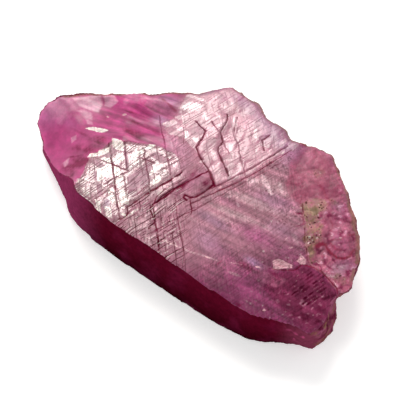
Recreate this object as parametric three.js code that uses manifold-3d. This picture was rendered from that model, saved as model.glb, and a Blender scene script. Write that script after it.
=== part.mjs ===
// Rough sapphire: one flat, translucent crystal of corundum as it was found, lying on its flat side.
// Millimetres, +Z up. The origin is under the middle of the stone, on the surface it rests on.
// X runs along the stone, from the thin broken end (-X) to the notched end (+X).

import * as THREE from "three";
import { mergeVertices } from "three/addons/utils/BufferGeometryUtils.js";
import Module from "manifold-3d";

// Driving dimensions, mm
const topHeight = 4.4;           // the flat growth face on top
const midHeight = 1.8;           // where the side walls stand out furthest
const footHeight = 0.35;         // top of the worn edge round the underside
const footWear = 0.3;            // how far that worn edge is drawn in at the underside
const spareHeight = 0.6;         // stock above the top face, which the face cuts away
const reach = 60;                // size of a cutter that spans the whole stone
const growthAngles = [78, 18, -42].map((angle) => THREE.MathUtils.degToRad(angle));  // in plan

// The edge of the stone seen from above, from the thin end along the near side (-Y) and back along
// the far side: x and y of the rim, then how far the wall stands out from it at mid height and at
// its foot (less than nothing where the wall leans in).
const edge = [
  [-15.45, -1.97, 0, -0.5], [-15.41, -2.88, 0, -0.5], [-15.09, -3.9, 0, -0.5],
  [-14.3, -4.31, 0, -0.4], [-13.92, -4.53, 0, -0.4], [-13.54, -4.83, 0, -0.3],
  [-13.15, -5.35, 0, -0.2], [-12.39, -5.53, 0, -0.1], [-11.68, -5.72, 0.1, 0.1],
  [-10.97, -5.8, 0.25, 0.35], [-10.12, -5.94, 0.4, 0.6], [-9.2, -6.11, 0.5, 0.8],
  [-8.4, -6.43, 0.55, 0.9], [-7.8, -6.92, 0.5, 0.85], [-7.3, -7.35, 0.45, 0.75],
  [-6.5, -7.5, 0.45, 0.75], [-5.4, -7.45, 0.55, 0.85], [-4.9, -7.6, 0.5, 0.8],
  [-4, -7.72, 0.45, 0.7], [-2.8, -7.67, 0.5, 0.75], [-1.5, -7.6, 0.5, 0.8],
  [0, -7.5, 0.5, 0.8], [1.3, -7.36, 0.5, 0.85], [3, -7.4, 0.45, 0.75],
  [4.3, -7.22, 0.45, 0.75], [5.8, -7.3, 0.35, 0.6], [7, -7.12, 0.4, 0.6],
  [8.6, -7, 0.35, 0.5], [10, -6.85, 0.3, 0.35], [11, -6.4, 0.3, 0.2],
  [12, -5.9, 0.2, 0], [13, -5.5, 0, -0.3], [14.25, -5.4, -0.25, -0.75],
  [14.55, -4.6, 0.15, -0.3], [14.49, -3.97, 0.42, -0.1], [14.28, -3.33, 0.8, 0.1],
  [13.98, -2.72, 0.98, 0.15], [13.62, -2.12, 0.95, 0.1], [13.82, -1.6, 0.3, -0.2],
  [13.98, -1.18, -0.2, -0.6], [14.26, -0.8, -0.6, -1], [14.47, 0.03, -0.5, -1.1],
  [13.95, 1.05, -0.4, -1], [13.44, 2.28, -0.3, -1.1], [12.78, 3.16, -0.2, -0.9],
  [12.42, 3.77, -0.3, -1], [11.47, 4.33, -0.2, -0.8], [11.18, 4.85, -0.3, -0.9],
  [10.52, 5.48, -0.3, -1], [9.82, 5.79, -0.2, -0.8], [9.57, 6.12, -0.3, -0.9],
  [8.81, 6.67, -0.2, -0.8], [7.88, 7.24, -0.3, -1], [7.21, 7.7, -0.2, -0.9],
  [6.46, 8.37, -0.35, -1.1], [5.78, 8.44, -0.35, -1.2], [4.71, 8.22, -0.3, -1],
  [3.83, 7.6, -0.15, -0.7], [2.94, 7.2, 0, -0.4], [2.5, 7.22, 0, -0.4],
  [1.99, 7.75, -0.2, -0.7], [0.93, 7.64, -0.15, -0.6], [-0.06, 7.54, -0.1, -0.6],
  [-0.72, 8.08, -0.25, -0.9], [-1.41, 8.3, -0.35, -1.1], [-2.13, 8.14, -0.25, -0.9],
  [-2.97, 8.22, -0.35, -1.1], [-4.13, 8.34, -0.4, -1.2], [-5.02, 7.23, -0.35, -1],
  [-5.38, 6.67, -0.25, -0.9], [-5.53, 6.25, -0.15, -0.7], [-5.67, 5.83, 0, -0.5],
  [-6.37, 5.53, -0.1, -0.7], [-7.26, 4.81, -0.15, -0.7], [-7.85, 4.29, -0.2, -0.8],
  [-8.32, 3.62, -0.1, -0.6], [-8.81, 3.18, -0.15, -0.7], [-9.86, 2.81, -0.2, -0.8],
  [-10.73, 2.34, -0.15, -0.7], [-11.37, 2.09, -0.1, -0.6], [-12.27, 1.54, -0.2, -0.7],
  [-13.17, 0.91, -0.15, -0.7], [-13.96, 0.18, -0.2, -0.7], [-14.31, -0.44, -0.1, -0.6],
  [-14.9, -1.3, -0.1, -0.6],
];

// Heights of the rings that make the side walls, with the small steps that growth left along them
const wallRings = [
  [0, 0], [footHeight, 0], [0.8, 0.1], [1, -0.02], [midHeight, 0.05], [2.5, 0.08],
  [2.7, -0.05], [3.5, 0.04], [3.65, -0.04], [topHeight, 0], [topHeight + spareHeight, 0],
];

// Hollows that conchoidal fracture left in the thin end: x and y of the deepest point, its height,
// the radius of the hollow
const scoops = [
  [-14.3, -6.6, 1.45, 8.6],
  [-12.2, -0.4, 2.95, 8.3],
  [-9.7, -2.6, 3.75, 5.2],
];

// The hollow that runs on from them between the top face and the far rim
const trough = { x: -8.2, y: 0.9, angle: 0.48, long: 4.9, wide: 2.1, deep: 1.5, above: 0.85 };

// Faces that lie lower or lean away from the top face: a point on each, then its fall in mm per mm
// towards +X and +Y
const leaningFaces = [
  { x: 1, y: 0, fallX: 0.018, fallY: 0 },
  { x: 8.2, y: -5.6, fallX: 0.055, fallY: -0.05 },
  { x: -2, y: 5, fallX: 0, fallY: 0.06 },
  { x: -6.4, y: 3.6, fallX: -0.1, fallY: 0.12 },
];

// Plates of the last growth layers on the top face, each with its thickness
const plates = [
  { thick: 0.1, outline: [[-7.7, -2.3], [-7.2, -1.75], [-5.6, -0.65], [-4.2, -0.15], [-2.5, -0.35],
    [-1.9, -0.95], [-2.2, -2.3], [-2.55, -3.6], [-2.8, -5.6], [-3, -6], [-2.5, -6.5], [-2.7, -7.2],
    [-6.7, -7.1], [-7.5, -6.6], [-7.7, -5.6], [-8.2, -4.3]] },
  { thick: 0.08, outline: [[-0.4, 0.5], [0.15, 0.2], [0.35, -2], [-0.1, -2.3], [0.6, -3.4],
    [-0.3, -4.9], [-1.4, -4.6], [-1.4, -4], [-1, -2]] },
  { thick: 0.12, outline: [[-2.35, 1.6], [-1.6, 1.25], [-0.1, 0.5], [0.95, -0.15], [1.7, 1],
    [1, 1.35], [-0.2, 2.1], [-1, 2.6], [-1.5, 3.7], [-1.85, 4.5], [-2.1, 5.2], [-2.9, 5.4],
    [-3.4, 4.4], [-2.75, 3.1]] },
];

// The weathered shoulder at +X +Y: its inner edge, and the shelf that lies lower still at its end
const shoulderEdge = [
  [4, 9.5], [4.05, 6.2], [4.15, 5.1], [4.5, 4.7], [4.75, 4.2], [4.9, 3.75], [5.4, 3.35],
  [6, 3.1], [7.2, 2.85], [7.5, 2.5], [8, 2.15], [8.5, 1.65], [8.95, 1.1], [9.4, 0.5],
  [9.8, 0.05], [10.2, -0.4], [10.5, -0.75], [11.2, -0.7], [12, -0.65], [13, -0.9],
  [13.9, -1.2], [16, -1.2], [16, 9.5],
];
const shelfEdge = [
  [10.35, 1.2], [10.4, 0.95], [11, 1.1], [11.5, 1], [12.2, 0.85], [12.6, 1.2], [13.6, 1.7],
  [16, 1.7], [16, -1.2], [13.9, -1.2], [13, -0.9], [12, -0.65], [11.2, -0.7], [10.5, -0.75],
];
const shelfDrop = 0.22;

// The surface of the shoulder: its height at one point, its fall towards +X and +Y, the size of its
// facets, the height of its grain, and its lumps and hollows as x, y, radius and rise
const shoulder = { x: 7, y: 3, height: 4, fallX: 0.035, fallY: 0.035, facet: 0.42, grain: 0.035 };
const lumps = [
  [8.7, 2.75, 0.9, 0.26], [9.3, 1.55, 0.8, 0.22], [9.9, 0.6, 0.6, 0.16], [7.9, 4.2, 0.7, 0.18],
  [9.4, 3.9, 0.7, 0.24], [10.3, 2.6, 0.6, 0.2], [11.1, 3.2, 0.8, 0.22], [11.1, 1.9, 0.8, 0.28],
  [12.2, 2, 0.7, 0.24], [10.4, 4.3, 0.7, 0.16], [8.9, 5.2, 0.8, 0.18], [7.4, 5.7, 0.9, 0.2],
  [6, 5.3, 0.8, 0.16], [6.1, 4, 0.8, 0.16], [5.2, 6.9, 1, 0.18], [6.9, 7, 0.8, 0.14],
  [8.2, 6.2, 0.6, 0.14], [13.1, 0, 0.8, 0.24], [11.7, -0.1, 0.7, 0.18], [13.2, 1.4, 0.6, 0.14],
  [7.1, 3.5, 0.5, -0.2], [8.5, 5, 0.4, -0.16], [10.4, 1.1, 0.45, -0.3], [12.1, 0.9, 0.5, -0.16],
  [9.9, 3.3, 0.5, -0.16], [5, 5.6, 0.7, -0.12], [7.5, 6.7, 0.5, -0.14], [10.2, 3.5, 0.4, -0.14],
];

// Pits: x, y, half width
const pits = [
  [9.3, -3.2, 0.26], [7.2, -4.1, 0.26], [8.75, -6.8, 0.22], [10.6, -5.75, 0.18], [5.3, -5, 0.14],
  [-0.4, -6.2, 0.16], [-6.8, -7, 0.18], [2.45, 5.4, 0.15],
];

// Cracks of the top face: half width, depth, points
const cracks = [
  [0.12, 0.16, [[-4, 3.5], [-3.6, 3.4], [-2.8, 3.1], [-2.6, 2.6], [-2.35, 1.55], [-1.6, 1.2],
    [-0.9, 0.85], [-0.1, 0.45], [0.95, -0.2]]],
  [0.1, 0.14, [[-2.4, 5.5], [-2.05, 5.2], [-1.85, 4.4], [-1.5, 3.6], [-1.15, 3], [-1, 2.5],
    [-0.2, 2.05], [1, 1.3]]],
  [0.1, 0.14, [[-1.9, -0.9], [-2.2, -2.3], [-2.55, -3.6], [-2.75, -5], [-2.85, -5.6],
    [-2.95, -5.95], [-2.4, -6.5], [-2.5, -7.05], [-2.9, -7.7]]],
  [0.15, 0.2, [[-0.45, 0.55], [-0.65, -0.8], [-1, -2], [-1.3, -3], [-1.45, -4], [-1.55, -4.7],
    [-0.8, -5.3], [-0.45, -5.5], [-0.45, -6.3]]],
  [0.12, 0.16, [[0.2, 0.3], [0.35, -1], [0.4, -2.1], [-0.2, -2.2]]],
  [0.08, 0.1, [[-8, -2.5], [-5, -5.1], [-2.75, -7]]],
  [0.08, 0.1, [[-6.4, 1.8], [-4.2, 0], [-1.8, -2.1]]],
  [0.07, 0.08, [[-8, -4.25], [-5.05, -3.45], [-5.7, -5.6]]],
];

// Fine growth ridges ruled over the dark corner by the near side: first and last x, their number
const ruledCorner = { firstX: 10.6, lastX: 13.2, count: 6, y: -2.9, long: 2.6, wide: 0.1, deep: 0.06 };

// Soft dents in the near wall: x, y, z of the middle, half length, half depth
const dents = [
  [-6.2, -8.55, 2.2, 1.9, 0.6], [-1.2, -8.8, 1.7, 2.3, 0.65], [4.6, -8.5, 2.5, 2.1, 0.65],
  [9.2, -7.95, 2, 1.8, 0.65],
];

// Flat chips broken from the hidden walls: a point on each and the way it faces
const chips = [
  [-10.7, 2, 1.6, [-0.6, 0.7, -0.38]], [-6.9, 4.3, 1.4, [-0.62, 0.55, -0.55]],
  [-3.6, 7.5, 1.5, [-0.25, 0.8, -0.55]], [0.6, 6.9, 1.5, [0.1, 0.85, -0.5]],
  [4.2, 7.3, 1.7, [-0.4, 0.8, -0.45]], [7.4, 7, 1.8, [0.55, 0.72, -0.42]],
  [10.3, 5, 1.5, [0.62, 0.6, -0.5]], [13.2, 1.6, 1.9, [0.85, 0.25, -0.46]],
];

// The hollow under the lobe beside the notch: its outline in plan, the top of the block it is cut from,
// a point on its slanted roof and the way that roof faces
const undercut = {
  outline: [[12.2, -1.1], [13.88, -1.5], [16, -2.3], [16, 1.9], [12.2, 1.9]],
  height: 3.6,
  point: [14.2, -0.9, 3.2],
  facing: [0.75, -0.3, -0.75],
};

const wasm = await Module();
wasm.setup();

function solidOf(geometry) {
  geometry.deleteAttribute("normal");
  geometry.deleteAttribute("uv");
  const merged = mergeVertices(geometry, 1e-5);
  return new wasm.Manifold(new wasm.Mesh({
    numProp: 3,
    vertProperties: new Float32Array(merged.getAttribute("position").array),
    triVerts: new Uint32Array(merged.getIndex().array),
  }));
}

// Outward direction of the rim at one of its points
function outwardAt(index) {
  const [beforeX, beforeY] = edge[(index + edge.length - 1) % edge.length];
  const [afterX, afterY] = edge[(index + 1) % edge.length];
  return new THREE.Vector2(afterY - beforeY, beforeX - afterX).normalize();
}

// How far the wall stands out from the rim at a height
function standOut(height, mid, foot) {
  if (height >= topHeight) return 0;
  if (height >= midHeight) return mid * (topHeight - height) / (topHeight - midHeight);
  if (height >= footHeight) {
    return THREE.MathUtils.mapLinear(height, footHeight, midHeight, foot, mid);
  }
  return foot - footWear;
}

// The slab: a ring of wall points at each height, closed by a flat face above and below
function makeSlab() {
  const positions = [];
  const faces = [];
  const count = edge.length;
  for (const [height, step] of wallRings) {
    edge.forEach(([x, y, mid, foot], index) => {
      const outward = outwardAt(index);
      const out = standOut(height, mid, foot) + step;
      positions.push(x + outward.x * out, y + outward.y * out, height);
    });
  }
  for (let ring = 0; ring + 1 < wallRings.length; ring += 1) {
    for (let index = 0; index < count; index += 1) {
      const here = ring * count + index;
      const next = ring * count + (index + 1) % count;
      faces.push(here, next, next + count, here, next + count, here + count);
    }
  }
  const ringPoints = (ring) => edge.map((point, index) => {
    const start = 3 * (ring * count + index);
    return new THREE.Vector2(positions[start], positions[start + 1]);
  });
  const topStart = (wallRings.length - 1) * count;
  for (const [a, b, c] of THREE.ShapeUtils.triangulateShape(ringPoints(wallRings.length - 1), [])) {
    faces.push(topStart + a, topStart + b, topStart + c);
  }
  for (const [a, b, c] of THREE.ShapeUtils.triangulateShape(ringPoints(0), [])) {
    faces.push(a, c, b);
  }
  const geometry = new THREE.BufferGeometry();
  geometry.setAttribute("position", new THREE.Float32BufferAttribute(positions, 3));
  geometry.setIndex(faces);
  return solidOf(geometry);
}

// Everything on the outer side of a flat face
function beyondFace(point, facing) {
  const geometry = new THREE.BoxGeometry(reach, reach, reach);
  geometry.translate(0, 0, reach / 2);
  const turn = new THREE.Quaternion().setFromUnitVectors(new THREE.Vector3(0, 0, 1), facing.normalize());
  geometry.applyQuaternion(turn);
  geometry.translate(point.x, point.y, point.z);
  return solidOf(geometry);
}

function aboveFace({ x, y, height = topHeight, fallX, fallY }) {
  return beyondFace(new THREE.Vector3(x, y, height), new THREE.Vector3(fallX, fallY, 1));
}

// An upright block over an outline, from one height to another
function blockOver(outline, from, to) {
  const shape = new THREE.Shape(outline.map(([x, y]) => new THREE.Vector2(x, y)));
  const geometry = new THREE.ExtrudeGeometry(shape, { depth: to - from, bevelEnabled: false });
  geometry.translate(0, 0, from);
  return solidOf(geometry);
}

function scoop([x, y, lowest, radius]) {
  const geometry = new THREE.SphereGeometry(radius, 56, 40);
  geometry.translate(x, y, lowest + radius);
  return solidOf(geometry);
}

function troughCutter() {
  const geometry = new THREE.SphereGeometry(1, 32, 24);
  geometry.scale(trough.long, trough.wide, trough.deep);
  geometry.rotateZ(trough.angle);
  geometry.translate(trough.x, trough.y, topHeight + trough.above);
  return solidOf(geometry);
}

// Height of the shoulder above a point: a leaning face with lumps, hollows and a crossed grain
function shoulderHeight(x, y) {
  let height = shoulder.height - shoulder.fallX * (x - shoulder.x) - shoulder.fallY * (y - shoulder.y);
  for (const [lumpX, lumpY, radius, rise] of lumps) {
    const away = Math.hypot(x - lumpX, y - lumpY) / radius;
    height += rise * Math.exp(-away * away);
  }
  for (const angle of growthAngles) {
    const across = (y * Math.cos(angle) - x * Math.sin(angle)) / shoulder.facet;
    height += shoulder.grain * Math.sin(across * 1.7 + 3 * Math.sin(across * 0.6 + x));
  }
  return height;
}

// A block whose underside is the surface of the shoulder
function aboveShoulder() {
  const box = new THREE.Box2().setFromPoints(shoulderEdge.map(([x, y]) => new THREE.Vector2(x, y)));
  const size = box.getSize(new THREE.Vector2());
  const middle = box.getCenter(new THREE.Vector2());
  const geometry = new THREE.BoxGeometry(size.x + 1, size.y + 1, 1,
    Math.ceil(size.x / shoulder.facet), Math.ceil(size.y / shoulder.facet), 1);
  geometry.translate(middle.x, middle.y, topHeight + 1);
  const position = geometry.getAttribute("position");
  for (let index = 0; index < position.count; index += 1) {
    if (position.getZ(index) < topHeight + 1) {
      position.setZ(index, shoulderHeight(position.getX(index), position.getY(index)));
    }
  }
  return solidOf(geometry);
}

function pit(x, y, z, halfWidth) {
  const geometry = new THREE.IcosahedronGeometry(halfWidth, 1);
  geometry.scale(1.3, 1, 0.7);
  geometry.rotateZ(x + y);
  geometry.translate(x, y, z);
  return solidOf(geometry);
}

// A V-shaped cut between two points of the surface
function notch(from, to, height, halfWidth, depth) {
  const run = new THREE.Vector2(to[0] - from[0], to[1] - from[1]);
  const geometry = new THREE.BoxGeometry(run.length() + halfWidth, 1, 1);
  geometry.rotateX(Math.PI / 4);
  geometry.scale(1, halfWidth * Math.SQRT2, depth * Math.SQRT2);
  geometry.rotateZ(run.angle());
  geometry.translate((from[0] + to[0]) / 2, (from[1] + to[1]) / 2, height);
  return solidOf(geometry);
}

// Height of the finished surface above a point, read by a thin probe
function surfaceAt(solid, x, y) {
  const geometry = new THREE.BoxGeometry(0.02, 0.02, 2 * topHeight + 2);
  geometry.translate(x, y, topHeight);
  return solid.intersect(solidOf(geometry)).boundingBox().max[2];
}

let stone = makeSlab();
stone = stone.subtract(aboveFace({ x: 0, y: 0, fallX: 0, fallY: 0 }));
for (const face of leaningFaces) {
  stone = stone.subtract(aboveFace(face));
}
for (const { thick, outline } of plates) {
  stone = stone.add(blockOver(outline, topHeight - 1, topHeight + thick)
    .subtract(aboveFace({ x: 0, y: 0, height: topHeight + thick, fallX: 0.01, fallY: 0.015 })));
}
for (const hollow of scoops) {
  stone = stone.subtract(scoop(hollow));
}
stone = stone.subtract(troughCutter());
const shoulderCut = blockOver(shoulderEdge, 1, topHeight + 2).intersect(aboveShoulder());
const shelfCut = blockOver(shelfEdge, 1, topHeight + 2)
  .intersect(aboveShoulder().translate(0, 0, -shelfDrop));
stone = stone.subtract(shoulderCut).subtract(shelfCut);
for (const [x, y, halfWidth] of pits) {
  stone = stone.subtract(pit(x, y, surfaceAt(stone, x, y), halfWidth));
}
for (const [halfWidth, depth, points] of cracks) {
  for (let index = 0; index + 1 < points.length; index += 1) {
    const from = points[index];
    const to = points[index + 1];
    const height = surfaceAt(stone, (from[0] + to[0]) / 2, (from[1] + to[1]) / 2);
    stone = stone.subtract(notch(from, to, height, halfWidth, depth));
  }
}
for (let index = 0; index < ruledCorner.count; index += 1) {
  const share = index / (ruledCorner.count - 1);
  const x = THREE.MathUtils.lerp(ruledCorner.firstX, ruledCorner.lastX, share);
  const halfX = Math.cos(growthAngles[0]) * ruledCorner.long / 2;
  const halfY = Math.sin(growthAngles[0]) * ruledCorner.long / 2;
  const height = surfaceAt(stone, x, ruledCorner.y);
  stone = stone.subtract(notch([x - halfX, ruledCorner.y - halfY], [x + halfX, ruledCorner.y + halfY],
    height, ruledCorner.wide, ruledCorner.deep));
}
for (const [x, y, z, long, deep] of dents) {
  const geometry = new THREE.SphereGeometry(1, 24, 16);
  geometry.scale(long, deep, long * 0.45);
  geometry.translate(x, y, z);
  stone = stone.subtract(solidOf(geometry));
}
for (const [x, y, z, facing] of chips) {
  const far = beyondFace(new THREE.Vector3(x, y, z), new THREE.Vector3(...facing));
  const near = new THREE.SphereGeometry(2.6, 16, 12);
  near.translate(x, y, z);
  stone = stone.subtract(far.intersect(solidOf(near)));
}

const roof = beyondFace(new THREE.Vector3(...undercut.point), new THREE.Vector3(...undercut.facing));
stone = stone.subtract(roof.intersect(blockOver(undercut.outline, -1, undercut.height)));

const cut = stone.getMesh();
const geometry = new THREE.BufferGeometry();
geometry.setAttribute("position", new THREE.Float32BufferAttribute(cut.vertProperties, cut.numProp));
geometry.setIndex(new THREE.Uint32BufferAttribute(cut.triVerts, 1));
geometry.computeVertexNormals();

const corundum = new THREE.MeshStandardMaterial({ color: "#9a4168", roughness: 0.35, metalness: 0 });
const sapphire = new THREE.Mesh(geometry, corundum);
sapphire.name = "rough_sapphire";

const part = new THREE.Group();
part.add(sapphire);

export default part;
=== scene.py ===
import math
from functools import partial

import bmesh
import bpy
import numpy as np
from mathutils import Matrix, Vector
from mathutils.kdtree import KDTree


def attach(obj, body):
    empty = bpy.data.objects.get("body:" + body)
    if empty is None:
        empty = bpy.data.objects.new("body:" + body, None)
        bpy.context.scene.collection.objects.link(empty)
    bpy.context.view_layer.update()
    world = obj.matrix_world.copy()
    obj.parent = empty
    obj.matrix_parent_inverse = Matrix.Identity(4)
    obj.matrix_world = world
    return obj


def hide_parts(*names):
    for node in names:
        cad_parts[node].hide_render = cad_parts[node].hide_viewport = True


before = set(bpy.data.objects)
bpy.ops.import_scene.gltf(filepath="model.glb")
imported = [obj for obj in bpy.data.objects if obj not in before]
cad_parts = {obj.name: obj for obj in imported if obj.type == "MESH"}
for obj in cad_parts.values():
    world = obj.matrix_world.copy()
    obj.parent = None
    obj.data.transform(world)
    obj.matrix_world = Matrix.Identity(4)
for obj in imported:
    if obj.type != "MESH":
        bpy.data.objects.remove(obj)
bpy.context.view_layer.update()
mm = 0.001


def linearColour(hexText):
    # sRGB hex to the linear values that Blender's sockets take
    channels = [int(hexText[at:at + 2], 16) / 255 for at in (1, 3, 5)]
    return [c / 12.92 if c <= 0.04045 else ((c + 0.055) / 1.055) ** 2.4 for c in channels] + [1.0]


def smoothStep(values, low, high):
    share = np.clip((values - low) / (high - low), 0, 1)
    return share * share * (3 - 2 * share)


def addNode(tree, kind, sockets=None, out=0, **settings):
    # one node with its settings and the values or links of its inputs; gives the output asked for
    node = tree.nodes.new("ShaderNode" + kind)
    for name, value in settings.items():
        setattr(node, name, value)
    for name, value in (sockets or {}).items():
        if isinstance(value, bpy.types.NodeSocket):
            tree.links.new(value, node.inputs[name])
        else:
            node.inputs[name].default_value = value
    return node.outputs[out]


def newMaterial(name, sockets):
    # a material and its shader, with some of the shader's own values
    material = bpy.data.materials.new(name)
    material.use_nodes = True
    shader = material.node_tree.nodes["Principled BSDF"]
    for socket, value in sockets.items():
        shader.inputs[socket].default_value = value
    return material, shader


def viewFrom(azimuth, elevation):
    # direction from the stone towards something that stands round it
    around, up = math.radians(azimuth), math.radians(elevation)
    return Vector((math.sin(around) * math.cos(up), -math.cos(around) * math.cos(up), math.sin(up)))


# Camera: a macro view from the front right, well above the stone

cameraSetup = {
    "azimuth": 40,
    "elevation": 60,
    "lens": 120,                  # mm
    "sensor": 36,                 # mm
    "distance": 102.7,            # mm
    "target": (0.95, -1.9, 4.5),  # mm
    "clip": (0.002, 20),          # m
}


def makeCamera(setup):
    data = bpy.data.cameras.new("camera")
    data.lens = setup["lens"]
    data.sensor_width = setup["sensor"]
    data.clip_start, data.clip_end = setup["clip"]
    camera = bpy.data.objects.new("camera", data)
    bpy.context.scene.collection.objects.link(camera)
    back = viewFrom(setup["azimuth"], setup["elevation"])
    camera.location = (Vector(setup["target"]) + back * setup["distance"]) * mm
    camera.rotation_mode = "QUATERNION"
    camera.rotation_quaternion = (-back).to_track_quat("-Z", "Y")
    bpy.context.scene.camera = camera


# Studio: a white sheet that glows a little, a pale room with a dim ceiling, and one softbox behind the stone
# on its left, whose mirror image falls on the silver part of the top

studio = {
    "floor": "#f4f4f4",
    "floorRoughness": 0.9,
    "floorShine": 0.1,
    "floorGlow": 0.42,         # how much the sheet is lit from below
    "floorSize": 4.0,          # m
    "wallLight": 1.5,          # brightness of the room near the horizon
    "ceilingLight": 0.3,       # and overhead
    "dimming": (0.25, 0.75),   # heights where the one starts to fade and the other is reached, 1 overhead
    "keyAzimuth": 232,
    "keyElevation": 51,
    "keyDistance": 0.6,        # m
    "keySize": (0.3, 0.19),    # m
    "keyPower": 2.2,           # W
    "keyColour": "#fffaf3",
}


def makeRoom(setup):
    world = bpy.data.worlds.new("studio")
    bpy.context.scene.world = world
    world.use_nodes = True
    tree = world.node_tree
    height = addNode(tree, "SeparateXYZ", {0: addNode(tree, "TexCoord", out="Generated")}, "Z")
    low, high = setup["dimming"]
    light = {0: height, 1: low, 2: high, 3: setup["wallLight"], 4: setup["ceilingLight"]}
    background = tree.nodes["Background"].inputs
    background["Color"].default_value = linearColour("#ffffff")
    tree.links.new(addNode(tree, "MapRange", light), background["Strength"])


def makeFloor(setup):
    half = setup["floorSize"] / 2
    mesh = bpy.data.meshes.new("floor")
    corners = [(-half, -half, 0), (half, -half, 0), (half, half, 0), (-half, half, 0)]
    mesh.from_pydata(corners, [], [(0, 1, 2, 3)])
    sheet, _ = newMaterial("opal acrylic sheet", {
        "Base Color": linearColour(setup["floor"]), "Roughness": setup["floorRoughness"],
        "Specular IOR Level": setup["floorShine"], "Emission Color": linearColour("#ffffff"),
        "Emission Strength": setup["floorGlow"]})
    mesh.materials.append(sheet)
    floor = bpy.data.objects.new("floor", mesh)
    bpy.context.scene.collection.objects.link(floor)


def makeSoftbox(setup):
    data = bpy.data.lights.new("softbox", "AREA")
    data.shape = "RECTANGLE"
    data.size, data.size_y = setup["keySize"]
    data.energy = setup["keyPower"]
    data.color = linearColour(setup["keyColour"])[:3]
    lamp = bpy.data.objects.new("softbox", data)
    bpy.context.scene.collection.objects.link(lamp)
    towards = viewFrom(setup["keyAzimuth"], setup["keyElevation"])
    lamp.location = towards * setup["keyDistance"]
    lamp.rotation_mode = "QUATERNION"
    lamp.rotation_quaternion = towards.to_track_quat("Z", "Y")


bpy.context.scene.view_settings.view_transform = "Standard"
makeCamera(cameraSetup)
makeRoom(studio)
makeFloor(studio)
makeSoftbox(studio)
print("camera and studio: done")


# Noise for the fine surface: repeatable values on a grid of cells, in millimetres

def cellValue(cells, seed):
    # one number from 0 to 1 for each cell, always the same for the same cell and seed
    mixed = cells @ np.array([73856093, 19349663, 83492791])[:cells.shape[1]] + seed * 374761393
    mixed = (mixed ^ (mixed >> 13)) * 1274126177
    mixed = (mixed ^ (mixed >> 16)) & 0xFFFF
    return mixed / 0xFFFF


def swell(spots, size, seed):
    # soft bumps from -1 to 1, about `size` apart
    cells = spots / size
    low = np.floor(cells).astype(np.int64)
    part = cells - low
    part = part * part * (3 - 2 * part)
    total = np.zeros(len(spots))
    for corner in np.ndindex(*(2,) * spots.shape[1]):
        weight = np.ones(len(spots))
        for axis, upper in enumerate(corner):
            weight *= part[:, axis] if upper else 1 - part[:, axis]
        total += weight * cellValue(low + np.array(corner), seed)
    return total * 2 - 1


def roughness(spots, size, seed):
    # three layers of swell, each half the size and half the height of the last
    layers = [swell(spots, size / 2 ** layer, seed + layer) / 2 ** layer for layer in range(3)]
    return sum(layers) / 1.75


def nearestCell(spots, size, seed):
    # for scattered cells: distance to the nearest centre as a share of the spacing, that cell's own number
    # from 0 to 1, and the way to the spot from its centre
    cells = np.floor(spots / size).astype(np.int64)
    best = np.full(len(spots), 9.0)
    number = np.zeros(len(spots))
    way = np.zeros_like(spots)
    for stepX in (-1, 0, 1):
        for stepY in (-1, 0, 1):
            cell = cells + np.array([stepX, stepY])
            offset = spots / size - cell - np.stack([cellValue(cell, seed), cellValue(cell, seed + 1)], 1)
            away = np.hypot(*offset.T)
            nearer = away < best
            number = np.where(nearer, cellValue(cell, seed + 2), number)
            way = np.where(nearer[:, None], offset, way)
            best = np.where(nearer, away, best)
    return best, number, way


# Directions, lines and outlines on the plan of the stone

def directionsOf(degrees):
    # the unit vector along a direction, and the one across it
    angle = math.radians(degrees)
    return np.array([math.cos(angle), math.sin(angle)]), np.array([-math.sin(angle), math.cos(angle)])


def turned(spots, degrees):
    # coordinates along a direction and across it
    return np.stack([spots @ axis for axis in directionsOf(degrees)], 1)


def lineDistance(spots, line):
    # distance to a broken line, and the nearest point of it
    best = np.full(len(spots), 1e9)
    foot = np.zeros_like(spots)
    for start, end in zip(line, line[1:]):
        start = np.array(start, float)
        run = np.array(end, float) - start
        share = np.clip((spots - start) @ run / max(run @ run, 1e-12), 0, 1)
        point = start + share[:, None] * run
        away = np.hypot(*(spots - point).T)
        nearer = away < best
        best = np.where(nearer, away, best)
        foot = np.where(nearer[:, None], point, foot)
    return best, foot


def insideOutline(spots, outline, soft):
    # 1 inside a closed outline, 0 outside, with a soft edge
    closed = list(outline) + [outline[0]]
    away = lineDistance(spots, closed)[0]
    crossings = np.zeros(len(spots), int)
    for (x1, y1), (x2, y2) in zip(closed, closed[1:]):
        spans = (y1 > spots[:, 1]) != (y2 > spots[:, 1])
        at = x1 + (spots[:, 1] - y1) * (x2 - x1) / ((y2 - y1) or 1e-9)
        crossings += spans & (spots[:, 0] < at)
    signed = np.where(crossings % 2 == 1, away, -away)
    return smoothStep(signed, -soft, soft)


def jagged(line, step, stray, chance):
    # the same line in short steps that stray to either side, as a crack runs
    points = [np.array(line[0], float)]
    for start, end in zip(line, line[1:]):
        start, end = np.array(start, float), np.array(end, float)
        length = np.hypot(*(end - start))
        across = np.array([start[1] - end[1], end[0] - start[0]]) / max(length, 1e-9)
        count = max(1, round(length / step))
        for index in range(1, count + 1):
            wander = 0 if index == count else chance.normal(0, stray)
            points.append(start + (end - start) * index / count + across * wander)
    return points


def patch(spots, x, y, length, width, degrees, strength, square, edge, lean, uneven):
    # a small uneven patch: `strength` in its middle, falling to 0 around it
    local = turned(spots - np.array([x, y]), degrees)
    local[:, 0] -= lean * local[:, 1]
    local = local / np.array([length / 2, width / 2])
    local += uneven * np.stack([roughness(spots, 0.5, 77), roughness(spots, 0.5, 79)], 1)
    reach = (np.abs(local) ** square).sum(1) ** (1 / square)
    return strength * smoothStep(reach, 1 + edge, 1 - edge)


# The stone's own surface

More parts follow.
